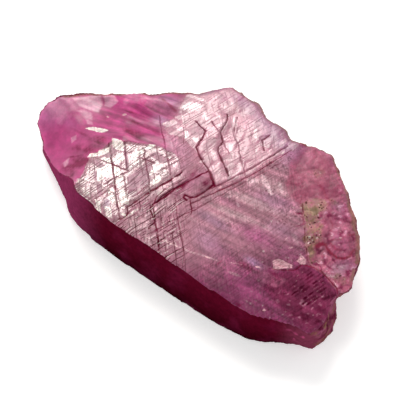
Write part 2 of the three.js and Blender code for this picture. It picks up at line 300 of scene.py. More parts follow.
stoneShape = {
    "node": "rough_sapphire",
    "name": "rough_sapphire_surface",
    "grain": 0.19,             # mm between points of the walls; half of it on top, a quarter at the cracks
    "topHeight": 4.4,          # mm, the flat growth face
    "slant": (0.371, -0.442),  # how far the plan below slides for each mm that the surface lies lower
    "jag": (0.3, 0.03),        # mm from bend to bend of a crack, and how far each bend strays
    "snap": 0.16,              # share of the grain within which points slide onto a crack's line
    "growth": (78, -42, 18),   # degrees, the directions in which the crystal grew
    "seed": 41,
}

# Where the surfaces of the stone lie, in mm on the plan of the top face, and how soft their borders are
zoneEdges = {"broken": 0.6, "silver": 0.1, "pale": 0.7, "shoulder": 0.16, "corner": 0.5}
zones = {
    # glassy broken surfaces of the thin end and the hollow that runs on from it
    "broken": [
        (-16, -12), (-16, 7), (-7.2, 7), (-5.6, 4.6), (-4.5, 3.6), (-5.3, 2.2), (-4.5, 1), (-3.2, 0.2),
        (-4.6, -1.4), (-6.8, -3.2), (-7.2, -6.8), (-7.5, -12)],
    # the silver growth face beside it
    "silver": [
        (-7.5, -8.2), (-7.5, -6.8), (-7.7, -5.7), (-8, -5.1), (-8.5, -4.2), (-8.1, -3.7), (-8, -3),
        (-7.9, -2.2), (-7.3, -1.7), (-6.9, -1.4), (-5.5, -0.6), (-4.5, -0.1), (-3.5, 0.1), (-2.7, -0.1),
        (-1.9, -0.9), (-2.2, -2.3), (-2.55, -3.6), (-2.8, -5.6), (-2.5, -6.5), (-2.8, -8.2)],
    # the pale growth face towards the far rim
    "pale": [
        (-5.6, 1.4), (-5.5, 2.6), (-5.9, 3.9), (-6.2, 5), (-5.4, 6), (-4.6, 8), (-2.2, 9), (0, 9), (3.4, 9),
        (3.7, 6.4), (3.2, 5.6), (2.6, 4.2), (2.4, 2.4), (1.6, 0.9), (0.9, 0), (-0.5, 0.6), (-2.3, 1.4),
        (-3.8, 1.7), (-4.8, 1.2)],
    # the weathered shoulder
    "shoulder": [
        (4.1, 9.5), (4.1, 6), (4.2, 5), (4.6, 4.6), (4.9, 4.2), (5.05, 3.6), (5.5, 3.2), (6.1, 2.95),
        (7.3, 2.7), (7.6, 2.35), (8.1, 2), (8.6, 1.5), (9, 1), (9.5, 0.35), (9.9, -0.1), (10.3, -0.55),
        (10.6, -0.9), (12, -0.8), (13, -1.05), (13.7, -1.2), (17, -1.3), (17, 9.5)],
    # the dark corner beside the notch
    "corner": [
        (9, -3.4), (10.2, -2.1), (10.4, -1.2), (12, -0.9), (13.7, -1.3), (14.4, -2), (14.6, -5.2),
        (13, -5.4), (11, -5), (9.4, -4.6)],
}

# Cracks: half width and depth in mm, how dark they are, and their points; their dark colour is partly the
# stone's dark crimson inside, partly painted shade
cracks = [
    (0.11, 0.09, 1, [(-4, 3.5), (-3.6, 3.4), (-2.82, 3.28), (-2.55, 2.52), (-2.43, 1.64), (-1.39, 1.07)]),
    (0.12, 0.09, 1, [(-1.39, 1.07), (-0.23, 0.6), (0.53, 0.17), (0.9, -0.12)]),
    (0.09, 0.08, 0.85, [(-2.5, 5.6), (-2.09, 5.01), (-1.85, 3.97), (-1.16, 3.44), (-1.04, 2.69),
        (-0.81, 2.4)]),
    (0.11, 0.09, 0.95, [(-0.81, 2.4), (-0.04, 1.96), (0.76, 1.55), (1.2, 1.25)]),
    (0.11, 0.07, 1, [(-1.79, -0.83), (-2.03, -2.1), (-2.51, -3.56), (-2.69, -4.65), (-2.84, -5.64)]),
    (0.11, 0.08, 1, [(-2.84, -5.64), (-2.99, -5.94), (-2.63, -6.22), (-2.5, -6.6), (-2.7, -7.07)]),
    (0.08, 0.06, 0.9, [(-2.75, -7), (-2.9, -7.6)]),
    (0.14, 0.1, 1, [(-0.29, 0.55), (-0.55, -0.2), (-0.78, -0.93), (-1, -1.6), (-1.23, -2.25), (-1.3, -2.9),
        (-1.36, -3.41), (-1.51, -4.12)]),
    (0.1, 0.08, 0.9, [(-1.51, -4.12), (-1.66, -4.54), (-1.52, -4.94), (-1, -5.2), (-0.5, -5.5),
        (-0.45, -6.3)]),
    (0.07, 0.04, 0.8, [(-1.3, -2.8), (-1.85, -2.85), (-1.8, -3.4), (-1.85, -3.8), (-1.6, -4.4)]),
    (0.1, 0.08, 1, [(0.82, -0.06), (0.76, -0.5), (0.72, -0.97), (0.47, -1.87), (0.15, -2.15), (-0.1, -2.2)]),
    (0.1, 0.08, 1, [(-0.1, -2.2), (-0.3, -2.25), (-0.2, -2.5), (0.12, -2.52)]),
    (0.06, 0.05, 0.9, [(0.32, -2.35), (0.65, -2.64), (1.01, -2.93), (1.2, -3.3)]),
    (0.08, 0.05, 0.7, [(0.26, -2.28), (0.6, -1.3), (1, -0.27), (1.92, 2.16), (3.07, 6.38)]),
    (0.08, 0.05, 0.75, [(0.61, -2.46), (1.52, -0.18), (2.51, 2.3), (3.54, 6.29)]),
    (0.05, 0.04, 0.6, [(0.89, -3.03), (1.44, -1.76), (2.18, 0.49), (3.31, 3.8), (3.63, 5.16)]),
    (0.06, 0.04, 0.7, [(0.16, -5.7), (0.59, -4.09), (1.07, -3), (1.5, -1.83)]),
    (0.08, 0.06, 0.85, [(-1.63, -4.45), (-0.62, -5.44), (0.44, -6.26), (1.4, -7.25)]),
    (0.06, 0.04, 0.65, [(-0.68, -2.96), (0.76, -4.29), (2.01, -5.28), (2.79, -5.97)]),
    (0.06, 0.04, 0.8, [(-5.05, -3.5), (-5.45, -4.6), (-5.7, -5.6)]),
    (0.07, 0.04, 0.8, [(-3, -3.5), (-3.25, -5)]),
    (0.06, 0.03, 0.7, [(-5.1, -5.2), (-5.35, -7)]),
    (0.05, 0.03, 0.6, [(-4.75, -5.6), (-4.9, -6.2)]),
    (0.06, 0.05, 1, [(-8, -2.5), (-7.4, -3.05), (-6.2, -3.95), (-5, -5.1), (-3.8, -6.15), (-2.75, -7)]),
    (0.05, 0.04, 0.8, [(-7.1, -1.6), (-6.3, -2.4), (-5.2, -3.4)]),
    (0.05, 0.04, 0.8, [(-5.4, -1.2), (-4.6, -1.9), (-3.5, -2.85), (-2.6, -3.7)]),
    (0.06, 0.04, 0.7, [(-4.9, -4.1), (-4.2, -4.7), (-3.4, -5.4)]),
    (0.05, 0.03, 0.7, [(-6.65, 2.05), (-5.5, 1.03), (-4.64, 0.4), (-4, -0.16), (-3.16, -0.78),
        (-2.27, -1.59)]),
    (0.05, 0.03, 0.6, [(-4.35, 2.4), (-3.4, 1.3)]),
    (0.05, 0.03, 0.8, [(0, -6), (0.9, -6.8), (1.6, -7.4)]),
    (0.05, 0.03, 0.5, [(1.5, -5), (2.5, -5.8), (3.5, -6.8)]),
    (0.06, 0.04, 0.85, [(-8, -4.25), (-7.1, -3.95), (-6.2, -3.75), (-5.05, -3.45)]),
    (0.06, 0.03, 0.7, [(-5, -1.9), (-4, -1.6)]),
    (0.07, 0.05, 0.8, [(-3, 4.3), (-2.2, 4), (-1.8, 3.9)]),
    (0.05, 0.03, 0.7, [(-1.5, 3.6), (-0.9, 3.3), (0, 2.85)]),
    (0.06, 0.04, 0.6, [(-1.7, 5.9), (-1.3, 5.1), (-0.8, 4.4), (0.1, 3.9), (1, 3), (2.3, 2)]),
    (0.07, 0.05, 0.8, [(1.35, 6.3), (1.15, 5.5), (1.9, 4.85)]),
    (0.08, 0.05, 0.8, [(11.85, -0.72), (12.55, -0.88), (13.24, -1.05), (13.72, -1.2), (14.04, -1.55)]),
    (0.07, 0.04, 0.8, [(7.22, 2.97), (7.68, 2.43)]),
    (0.05, 0.03, 0.7, [(7.95, 2.15), (8.27, 1.79)]),
    (0.06, 0.04, 0.8, [(8.6, 1.4), (8.84, 1.12), (9.39, 0.47)]),
    (0.05, 0.03, 0.7, [(9.8, 0.1), (10, -0.14), (10.61, -0.74), (10.95, -0.9)]),
    (0.08, 0.05, 0.7, [(8.9, -2.9), (9.6, -2.5), (10.2, -2), (10.4, -1.2)]),
]

# Drawn on the surface without depth: kind, half width in mm, strength, points. Threads are growth lines or
# splinters whose edge catches the light, folds are painted shade: dark red creases of the weathered part.
strokes = [
    ("thread", 0.06, 0.9, [(-0.2, -6.6), (0.7, -6.4), (2.3, -6.05), (3.8, -5.55), (5.2, -5.1)]),
    ("thread", 0.035, 0.6, [(13, -0.78), (13.62, -1.03)]),
    ("thread", 0.04, 0.45, [(11, -0.3), (12, -0.35), (12.9, -0.6)]),
    ("thread", 0.035, 0.4, [(11.1, 0), (12.2, 0.1), (13.4, -0.1)]),
    ("thread", 0.035, 0.4, [(11.3, 0.3), (12.4, 0.5), (13.6, 0.6)]),
    ("thread", 0.03, 0.35, [(11.5, 0.55), (12.7, 0.85), (13.5, 1.3)]),
    ("thread", 0.04, 0.45, [(5.6, -4.8), (6.8, -4.2), (8.2, -3.4)]),
    ("thread", 0.05, 0.6, [(0.5, -2.2), (1.3, -0.2), (2.3, 2.3), (3.3, 6.2)]),
    ("thread", 0.05, 0.5, [(-0.9, 0.7), (-1.2, -0.5), (-1.6, -2.2), (-1.75, -3.4)]),
    ("thread", 0.06, 0.5, [(-3.6, 1.2), (-2.2, 0.9), (-0.6, 0.35)]),
    ("thread", 0.05, 0.5, [(-1.35, -4), (-0.4, -4.9), (0.6, -5.9)]),
    ("fold", 0.16, 0.6, [(-7.4, 3.4), (-6.6, 3.35), (-5.9, 3.2)]),
    ("fold", 0.1, 0.5, [(-2.9, 7.3), (-2.4, 6.6), (-2.1, 6), (-2.3, 5.5)]),
    ("fold", 0.24, 1, [(10.35, 0.8), (10.5, 1.2), (10.75, 1.25)]),
    ("fold", 0.13, 0.9, [(10.75, 1.25), (11.1, 1.05), (11.55, 0.94), (12.1, 0.92), (12.5, 1.2),
        (12.74, 1.61), (12.68, 2.33)]),
    ("fold", 0.12, 0.6, [(10.9, 1.6), (11.5, 1.45), (11.9, 1.7)]),
    ("fold", 0.1, 0.6, [(9.6, 3.3), (10.1, 3), (10.3, 2.5)]),
    ("fold", 0.1, 0.5, [(7, 5.2), (7.7, 5), (8.2, 4.6), (8.9, 4.7)]),
    ("fold", 0.06, 0.5, [(6.75, 3.5), (7, 2.9), (7.5, 2.7), (7.8, 2.1), (8.4, 1.6)]),
    ("fold", 0.035, 0.7, [(8.75, -2.75), (9.1, -2.35), (9.75, -1.95)]),
    ("fold", 0.03, 0.6, [(8.6, -2.3), (9.05, -2.1), (9.3, -1.8)]),
    ("fold", 0.03, 0.6, [(9.95, -1.2), (10.1, -0.95), (10.1, -0.7)]),
    ("fold", 0.09, 0.8, [(10.6, -1.1), (11.29, -0.82), (11.85, -0.75)]),
    ("fold", 0.1, 0.6, [(11.9, 3.4), (11.4, 2.9), (11.3, 2.3), (10.8, 1.9)]),
    ("fold", 0.08, 0.5, [(12.9, 2.4), (12.3, 2.3), (11.9, 2.7)]),
]

# Small patches on the plan, by kind: x, y, length, width in mm, direction in degrees, strength
marks = {
    # painted reflections of the softbox on the silver face
    "whiteGlare": [
        (-7.35, -2.15, 1, 0.85, -42, 1), (-7.75, -3.35, 1, 0.55, 60, 1), (-6.35, -3.05, 0.9, 0.65, 78, 1),
        (-7, -3.75, 1, 0.4, 18, 0.9), (-5.75, -4.05, 0.9, 0.55, -42, 1), (-6.45, -4.75, 1.4, 0.9, 78, 1),
        (-5.1, -4.6, 1, 0.35, 78, 0.8), (-4.55, -4.95, 0.9, 0.4, -42, 0.6), (-5.2, -0.65, 0.6, 0.5, 30, 1),
        (-5.55, -1.75, 1.1, 0.45, 70, 1), (-5.2, -2.4, 0.6, 0.35, 78, 0.7), (-3.5, -2, 1.2, 0.3, 78, 0.8),
        (-2.8, -2.65, 0.8, 0.5, 78, 0.9), (-3.75, -5.4, 1.3, 0.65, -42, 0.8),
        (-4.6, -5.9, 1.4, 0.6, -42, 0.55), (-3.5, -6.1, 0.8, 0.5, -42, 0.5), (-4.75, -7.3, 1, 0.35, -42, 1),
        (-3.8, -7.2, 1, 0.5, -42, 0.8), (-2.3, -5.8, 0.8, 0.22, 78, 0.7), (-2.7, -6.6, 0.4, 0.25, 0, 0.9),
        (-8.2, -4.15, 0.7, 0.35, 45, 0.9), (-7.3, -6.5, 1, 0.5, 40, 0.5), (-6.3, -7, 1.1, 0.5, -20, 0.5),
        (-1.9, -3.3, 0.6, 0.2, 78, 0.6),
    ],
    "gleam": [
        (-5.2, 4.3, 1.3, 1.1, 18, 1), (-5.75, 5.15, 1, 0.3, 18, 0.9), (-4.4, 5.5, 0.55, 0.5, 0, 0.3),
        (-5.2, 3, 0.5, 0.65, 0, 0.9), (-5.5, 2, 0.6, 0.9, 0, 1), (-4.6, 2.15, 0.8, 0.45, 0, 0.7),
        (-3.8, 2.05, 0.8, 0.35, -42, 1), (-2.9, 2.15, 0.6, 0.35, 0, 0.8), (-3.85, 4.4, 1, 0.45, -42, 0.7),
        (-1.6, 5.4, 0.9, 0.4, -70, 0.8), (0.35, 5.65, 1.2, 0.38, -42, 0.8),
        (-0.85, 1.95, 1, 0.45, -42, 0.9), (-2.2, 4.5, 0.4, 0.45, 0, 0.6), (-3, 6.4, 1.1, 1, 78, 0.45),
        (-4.25, 6.4, 0.7, 0.8, 0, 0.5), (-5.05, 5.35, 0.4, 0.4, 0, 0.8), (0.6, 2.9, 1, 0.2, 78, 0.6),
        (2.6, 6.4, 0.9, 0.5, 78, 0.5), (-2.8, 4.9, 1, 0.4, -42, 0.5), (-0.1, 3.3, 1.2, 0.5, -42, 0.6),
        (-1.2, 0.9, 0.4, 0.25, 40, 0.9), (2.2, 4, 1.2, 0.25, 78, 0.45), (1.4, 1.8, 1.6, 0.5, 78, 0.5),
        (-0.2, 1.3, 1.4, 0.5, 78, 0.35), (0.6, 1.2, 1, 0.5, 78, 0.35), (2.85, 2, 0.8, 0.45, 50, 0.7),
        (3.55, 2.75, 1, 0.4, -42, 0.7), (4.35, 2.35, 1.2, 0.35, -30, 0.85), (5, 3, 1.1, 0.3, -42, 0.6),
        (3.2, 2.3, 0.8, 0.4, 30, 0.5), (2.4, -0.2, 0.5, 0.3, 20, 0.5), (3.4, -0.3, 0.6, 0.3, -20, 0.4),
        (-1.3, -5, 1.4, 0.3, 78, 0.7), (-0.9, -6.2, 1.2, 0.25, 78, 0.6), (0.2, -6.6, 0.9, 0.22, 78, 0.6),
        (-1.9, -5.4, 0.8, 0.25, 78, 0.7), (-1.2, -3.9, 0.9, 0.2, 78, 0.5), (-1.9, -2.2, 3, 0.35, 78, 0.7),
        (-2.2, -3.6, 1.6, 0.3, 78, 0.6),
    ],
    # small chips, each with a painted glint where it catches the light
    "chipGlint": [
        (8.85, -0.65, 0.14, 0.35, 0, 0.8), (11.5, 1.9, 0.15, 0.12, 0, 0.8), (10.9, 2.9, 0.14, 0.14, 0, 0.7),
        (12.1, 1.6, 0.12, 0.2, 0, 0.6), (10.6, 2.2, 0.2, 0.1, 40, 0.6), (9.9, 2.9, 0.14, 0.14, 0, 0.6),
        (8.1, -0.2, 0.3, 0.12, 78, 0.7), (7.3, 1.9, 0.12, 0.3, 0, 0.6), (8.2, 0.7, 0.14, 0.14, 0, 0.7),
        (7.98, -3.5, 0.5, 0.14, 20, 1), (10.58, -6, 0.18, 0.2, 0, 1), (6.85, 2.25, 0.2, 0.2, 0, 0.8),
        (11.25, 2.47, 0.16, 0.16, 0, 1), (9.65, 0.6, 0.18, 0.25, 0, 0.7), (13.6, -4, 0.2, 0.14, 30, 0.6),
        (-8.88, 0.33, 0.28, 0.26, 20, 1), (-9.84, -0.68, 0.26, 0.24, -30, 0.6),
        (-9.5, -6.1, 0.5, 0.1, -65, 0.7),
    ],
    # pale pink patches: on the broken faces painted highlights, round the thin tip painted glow where light
    # gets through
    "blush": [
        (-12.6, -3.6, 0.7, 0.6, 0, 0.3), (-9.7, 1.5, 0.5, 0.9, 20, 0.5), (-6.4, 1.4, 0.6, 0.4, 0, 0.5),
        (-5.9, -0.4, 1, 0.4, 20, 0.5), (-7.2, 2.8, 3.4, 1.4, 14, 0.6), (-3.4, 0.7, 2.8, 1.3, -5, 0.75),
        (-2.3, -0.4, 1.6, 0.9, 60, 0.5), (-13.6, -2.4, 2.6, 2.2, 30, 0.7), (-9.3, 2.2, 2.6, 1.1, 20, 0.5),
    ],
    "ray": [
        (3.85, -1.1, 4, 0.6, 15, 1), (4, 0.6, 4.2, 0.7, 14, 1.1), (3.2, -2, 2.6, 0.4, 14, 0.6),
        (4.2, 2.6, 3.4, 1.2, 24, 0.8), (0.9, -6.3, 1.8, 0.14, 12, 1), (2.6, -5.95, 2.4, 0.14, 14, 1),
        (4.5, -5.3, 1.8, 0.14, 18, 0.9), (-0.8, -4.2, 2.4, 1.4, 78, 0.7), (-1.4, -6.4, 2, 1.6, 78, 1.1),
        (0.1, -7, 1.8, 1, -42, 0.7), (1.2, -3.6, 2.6, 0.4, 10, 0.5), (7, -5.1, 1, 0.25, 15, 0.7),
        (6.3, -0.5, 1, 0.4, 10, 0.6), (-2.2, -3.2, 2.6, 0.9, 78, 1.3), (1.5, -1, 1.6, 0.6, 78, 0.7),
        (8.6, 0.2, 1.4, 0.5, -30, 0.5), (12.6, -0.6, 1.4, 0.3, 20, 0.6), (5.6, 5.9, 1.6, 0.8, 40, 0.3),
        (3.6, 6.6, 1.2, 0.9, 78, 0.6), (1.7, -1.6, 2.4, 0.3, 12, 0.5),
    ],
    "magenta": [
        (6.3, -1.5, 3, 1.2, 10, 0.9), (8.6, -1.2, 1.8, 1, 20, 0.4), (2.9, -0.5, 2.2, 0.5, 14, 0.4),
        (-0.6, -0.9, 2.6, 1, 78, 0.4), (8, -5.2, 3.2, 1.6, -8, 0.3), (5.4, -4.2, 2.2, 0.9, -5, 0.4),
        (0.5, 7.2, 3.4, 0.9, -10, 1.1), (-2.4, 7.5, 2, 1, 10, 1.2), (2.8, 6.4, 2.4, 1.1, -20, 0.9),
        (-3.7, 6.6, 1.4, 0.9, 10, 0.6), (1.2, 5.9, 1.6, 0.7, 78, 0.5), (3.9, 6.6, 1.2, 1.6, 0, 0.6),
        (6.4, 2.3, 1.6, 0.7, 20, 0.4), (10, 4.2, 2, 1.6, -60, 0.5), (11.4, 2.2, 2, 1.4, -40, 0.6),
    ],
    "mauve": [
        (-3.95, -3.35, 2.2, 1.5, 78, 1), (-4, -0.95, 1.4, 0.7, 0, 0.9), (-6.7, -2.3, 1.6, 0.35, -42, 0.8),
        (-7.3, -4.5, 0.9, 0.5, 0, 0.8), (-6.6, -5.4, 1, 0.45, -42, 0.8), (-5.7, -6.1, 1.2, 0.45, -42, 0.8),
        (-5.9, -2.75, 1.8, 0.3, -42, 0.8), (-4.4, -6.8, 1, 0.35, -60, 0.7), (-3.4, 2.85, 1, 1.2, 0, 0.6),
        (-1.7, 2.6, 2, 0.7, 78, 0.4), (-1.7, -1.2, 1.4, 0.5, 78, 0.5), (-3, 5.6, 0.8, 0.6, -42, 0.4),
        (-4.3, -2, 1.2, 0.35, -42, 0.7), (-3.2, -4.6, 1.4, 0.3, 78, 0.6), (-2.6, -1.2, 1, 0.4, -42, 0.6),
        (9.4, -3.7, 2.2, 1.1, 18, 0.35),
    ],
    # round the thin tip these patches are painted glow, where light gets through the thin end
    "lavender": [
        (-14.2, -2.2, 1.2, 0.9, 30, 0.7), (-13.6, -3.6, 1.2, 0.8, 0, 0.3), (7.45, -3.4, 1.4, 0.5, 5, 0.8),
        (1.6, 6.7, 5, 1.9, -10, 0.5), (3.8, 5.9, 1.4, 2.4, 0, 0.4), (-1.6, 7.2, 2.4, 0.9, 0, 0.4),
        (3.7, -4.2, 2.2, 1.4, -10, 0.4), (3, -2.6, 2.6, 0.7, 5, 0.5), (5.2, 1.7, 2.6, 1.2, 10, 0.4),
        (-4.4, -6.7, 0.9, 0.4, -60, 0.7), (2.2, 6.7, 1.4, 0.7, 0, 0.4), (9.4, 4.6, 1, 0.7, 0, 0.3),
        (-1, 6.9, 1.4, 0.6, 0, 0.4), (12.9, 0.6, 1.8, 1, 60, 0.5), (7.3, 0.1, 2.2, 1, 10, 0.3),
        (-14, -3.4, 2.6, 3.2, 0, 0.5), (-12, -3.1, 1.6, 1, 0, 0.3), (-9.6, 4, 2.4, 0.9, 10, 0.4),
        (-6.9, 3.7, 1.6, 0.9, 20, 0.7), (-6.3, 1.8, 1.2, 0.9, 20, 0.8),
    ],
    "deep": [
        (-8.6, -5.4, 2, 1, 60, 1), (-8.8, -6.6, 1.6, 0.9, 10, 0.6), (-8.8, -3.9, 1.8, 0.9, 60, 0.6),
        (-8.8, -2.8, 1.4, 0.7, 30, 0.8), (-9.7, -4.6, 1.1, 0.8, 60, 0.6), (-7, -0.5, 2.4, 0.6, 8, 0.8),
        (-9.6, -1, 1.8, 0.5, -14, 0.4), (-6.6, 3.3, 2.2, 0.25, 12, 0.3), (-7.9, 1.5, 2.4, 0.3, 10, 0.4),
        (-6, 0.7, 2, 0.3, 0, 0.4), (7.2, 5.1, 1.4, 0.5, 0, 0.5), (7.9, 4.9, 0.6, 0.8, 0, 0.5),
        (9.9, 3.8, 0.9, 0.4, 20, 0.5), (5.2, 4.6, 0.6, 1.6, 15, 0.4), (9.6, 3, 0.8, 0.7, 20, 0.4),
        (9.4, -3.2, 1.2, 0.3, -10, 0.35), (7.2, -4.1, 1.1, 0.5, 0, 0.5), (5.5, -5.1, 0.14, 0.5, 0, 0.8),
        (8.8, -6.9, 0.4, 0.3, 0, 0.9), (13.8, -3.5, 0.5, 1.8, 25, 0.3), (0.35, -0.5, 0.5, 1.5, 5, 0.6),
        (-0.9, -1.4, 0.35, 2.6, 8, 0.5), (-1.5, -5.6, 1.2, 0.2, 78, 0.6), (-0.6, -5.3, 1.4, 0.15, 78, 0.6),
        (0, -6.3, 1, 0.15, 78, 0.6), (7.9, 2.5, 0.2, 1.4, -45, 0.8), (8.2, 1.4, 0.2, 0.8, -30, 0.6),
        (8.3, 5.7, 2.4, 1.4, -40, 0.4), (12.5, 2.5, 2.6, 1.4, -60, 0.35), (5.6, 4.2, 0.8, 2.4, 20, 0.3),
        (9.6, 0.9, 1.1, 0.9, -45, 0.7), (10.2, 0.2, 0.7, 0.5, -45, 0.4), (8.6, 2, 0.5, 0.7, -45, 0.35),
        (11.4, 0.3, 0.8, 0.3, -20, 0.5), (-9.2, -6.4, 1.2, 0.3, 60, 0.7), (-9.3, -5.2, 1.4, 0.25, 50, 0.6),
        (-10.2, -3.2, 1.8, 0.25, 10, 0.5), (-7.6, 0.3, 2.8, 0.25, 12, 0.6), (-7.2, 2.2, 2.6, 0.2, 10, 0.6),
        (-8.4, 0.9, 2.2, 0.2, 16, 0.6),
    ],
    "stain": [
        (13.35, -0.3, 1, 0.7, 0, 0.5), (8.9, 4.6, 0.8, 0.5, 0, 0.35), (6.4, 6.1, 0.8, 1, 0, 0.3),
        (15, -5, 0.8, 0.9, 0, 0.6), (14.7, -5.6, 0.7, 0.5, 0, 0.8),
    ],
}

# Small faces with straight sides, by kind: strength, softness of the edge in mm, corners on the plan
facets = {
    "whiteGlare": [
        # a painted glint: a small face of the break that mirrors the softbox
        (1, 0.06, [(-10.54, -2.7), (-10.05, -2.17), (-9.41, -1.82), (-8.82, -1.63), (-8.91, -2.01),
            (-9.46, -2.35), (-10.04, -2.54)]),
    ],
    # pale pink facets of the break, tilted to catch the light: painted highlights
    "blush": [
        (1.1, 0.16, [(-13.43, -1.1), (-12.63, -0.3), (-11.73, 0.51), (-10.98, -0.2), (-10.71, -0.85),
            (-11.33, -1.12), (-12.46, -1.44)]),
        (1, 0.1, [(-11.51, 0.63), (-10.83, 1.2), (-10.13, 1.03), (-10.24, 0.18), (-10.8, -0.04)]),
        (0.6, 0.15, [(-12.19, -1.97), (-11.83, -1.41), (-11.08, -1.28), (-10.5, -1.8), (-11.12, -1.95)]),
        (0.9, 0.1, [(-11.12, -1.95), (-10.44, -1.87), (-10.18, -2.03), (-10.61, -2.27)]),
        (0.7, 0.1, [(-10.8, -4.1), (-10.64, -3.6), (-10.3, -3.95), (-10.45, -4.5)]),
        (0.7, 0.08, [(-9.75, -6.3), (-9.66, -5.6), (-9.35, -6), (-9.3, -6.5)]),
    ],
    # chips beside the corner, with painted glints
    "chipGlint": [
        (0.9, 0.06, [(8.46, -2.43), (8.73, -1.93), (9.79, -1.7), (9.97, -1.93), (9.34, -2.58),
            (8.87, -3.02), (8.8, -2.7)]),
        (0.7, 0.07, [(9.84, -1.27), (9.81, -0.63), (10.34, -0.69), (10.62, -1.06), (10.3, -1.3)]),
    ],
    "stain": [
        (0.65, 0.2, [(7.24, 2.87), (7.35, 3.55), (7.69, 4.12), (8.3, 4.19), (9.02, 3.9), (8.8, 3.43),
            (8.86, 2.97), (9.42, 2.86), (9.69, 2.52), (9.66, 2.04), (10.01, 1.77), (10.26, 1.14),
            (10.42, 0.43), (10.87, 0.03), (11.07, -0.41), (10.91, -0.82), (10.38, -0.38), (9.9, 0),
            (9.37, 0.44), (8.84, 1.12), (8.22, 1.86), (7.65, 2.41)]),
        (0.9, 0.15, [(7.55, 2.79), (8.26, 3.5), (8.71, 3.3), (8.8, 2.8), (8.44, 2.39), (7.82, 2.44)]),
        (0.6, 0.15, [(8.9, 1.15), (9.6, 1.8), (10.1, 1.12), (9.64, 0.4)]),
    ],
}

# How each kind is bounded: 2 for a round patch up to 8 for a four-cornered one, the softness of its edge, how
# far its sides lean, and how unevenly they run; 0.577 lays them along two growth directions, 60 degrees apart
markShapes = {
    "whiteGlare": (8, 0.16, 0.577, 0.13), "gleam": (6, 0.4, 0.577, 0.15), "chipGlint": (3, 0.4, 0.577, 0.25),
    "mauve": (8, 0.25, 0.577, 0.15), "deep": (2, 0.7, 0, 0.4), "stain": (4, 0.4, 0, 0.4),
    "hatch": (3, 0.5, 0, 0.2), "blush": (2, 0.9, 0, 0.35), "ray": (2, 0.9, 0, 0.25),
    "magenta": (2, 0.95, 0, 0.25), "lavender": (2, 0.95, 0, 0.25),
}

# Short dark dashes in rows in the corner, where the growth steps were etched through
hatching = {
    "middle": (12.0, -2.6),
    "rows": 10,
    "spacing": 0.27,         # mm
    "length": 2.9,           # mm
    "rounding": 1.7,         # how much shorter the outer rows are
    "direction": 78,         # degrees
    "dash": (0.35, 1.0),     # mm
    "width": 0.17,           # mm
    "widthSpread": (0.6, 1.3),
    "strength": (0.35, 1.2),
    "lead": (0, 0.3),        # mm before the first dash of a row
    "gap": 0.12,             # mm
    "stray": 0.015,          # mm
    "ridge": (0.03, 0.3),    # mm, half width of the light ridge between two rows, and its strength
}


def hatchDashes(setup, chance):
    # dashes of uneven length in parallel rows with ridges between them, as entries for marks and strokes
    dashes = []
    ridges = []
    along, across = directionsOf(setup["direction"])
    middle = np.array(setup["middle"])
    for row in range(setup["rows"]):
        offset = (row - (setup["rows"] - 1) / 2) * setup["spacing"]
        bow = 1 - (offset / setup["length"] * setup["rounding"]) ** 2
        reach = setup["length"] / 2 * math.sqrt(max(0.1, bow))
        at = -reach + chance.uniform(*setup["lead"])
        while at < reach:
            dash = chance.uniform(*setup["dash"])
            spot = middle + along * (at + dash / 2) + across * (offset + chance.normal(0, setup["stray"]))
            width = setup["width"] * chance.uniform(*setup["widthSpread"])
            strength = (1 - abs(offset) / setup["length"]) * chance.uniform(*setup["strength"])
            dashes.append((*spot, dash, width, setup["direction"], strength))
            at += dash + setup["gap"]
        beside = middle + across * (offset + setup["spacing"] / 2)
        ends = [tuple(beside - along * reach), tuple(beside + along * reach)]
        ridges.append(("thread", *setup["ridge"], ends))
    return dashes, ridges


def detailedCopy(shape):
    # the CAD solid again as an even fine mesh, in millimetres while it is worked on
    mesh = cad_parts[shape["node"]].data.copy()
    mesh.name = shape["name"]
    points = np.zeros(len(mesh.vertices) * 3, np.float32)
    mesh.vertices.foreach_get("co", points)
    mesh.vertices.foreach_set("co", points / mm)
    piece = bpy.data.objects.new(shape["name"], mesh)
    bpy.context.scene.collection.objects.link(piece)
    remesh = piece.modifiers.new("remesh", "REMESH")
    remesh.mode = "VOXEL"
    remesh.voxel_size = shape["grain"]
    graph = bpy.context.evaluated_depsgraph_get()
    fine = bpy.data.meshes.new_from_object(piece.evaluated_get(graph))
    piece.modifiers.clear()
    piece.data = fine
    return piece


def meshArrays(mesh):
    points = np.zeros(len(mesh.vertices) * 3, np.float32)
    mesh.vertices.foreach_get("co", points)
    edges = np.zeros(len(mesh.edges) * 2, np.int32)
    mesh.edges.foreach_get("vertices", edges)
    return points.reshape(-1, 3).astype(float), edges.reshape(-1, 2)


def faceMeans(mesh, values):
    # the mean over each face of a value held at the points
    corners = np.zeros(len(mesh.loops), np.int32)
    mesh.loops.foreach_get("vertex_index", corners)
    starts = np.zeros(len(mesh.polygons), np.int32)
    mesh.polygons.foreach_get("loop_start", starts)
    counts = np.diff(np.append(starts, len(corners)))
    total = np.add.reduceat(values[corners], starts, axis=0)
    return (total.T / counts).T


def pointNormals(mesh, points):
    # moves the mesh's points, and gives the directions they then face
    mesh.vertices.foreach_set("co", points.astype(np.float32).ravel())
    mesh.update()
    normals = np.zeros(len(points) * 3, np.float32)
    mesh.vertex_normals.foreach_get("vector", normals)
    return normals.reshape(-1, 3).astype(float)


def nearestOf(points, targets):
    # for each point, the distance to the nearest of some target points, and which one that is
    tree = KDTree(len(targets))
    for index, target in enumerate(targets):
        tree.insert(target, index)
    tree.balance()
    found = [tree.find(point)[1:] for point in points]
    which, away = np.array(found).T
    return away, which.astype(int)


def setMask(mesh, name, values):
    attribute = mesh.attributes.get(name) or mesh.attributes.new(name, "FLOAT", "POINT")
    attribute.data.foreach_set("value", values.astype(np.float32))


def getMask(mesh, name):
    values = np.zeros(len(mesh.vertices), np.float32)
    mesh.attributes[name].data.foreach_get("value", values)
    return values.astype(float)


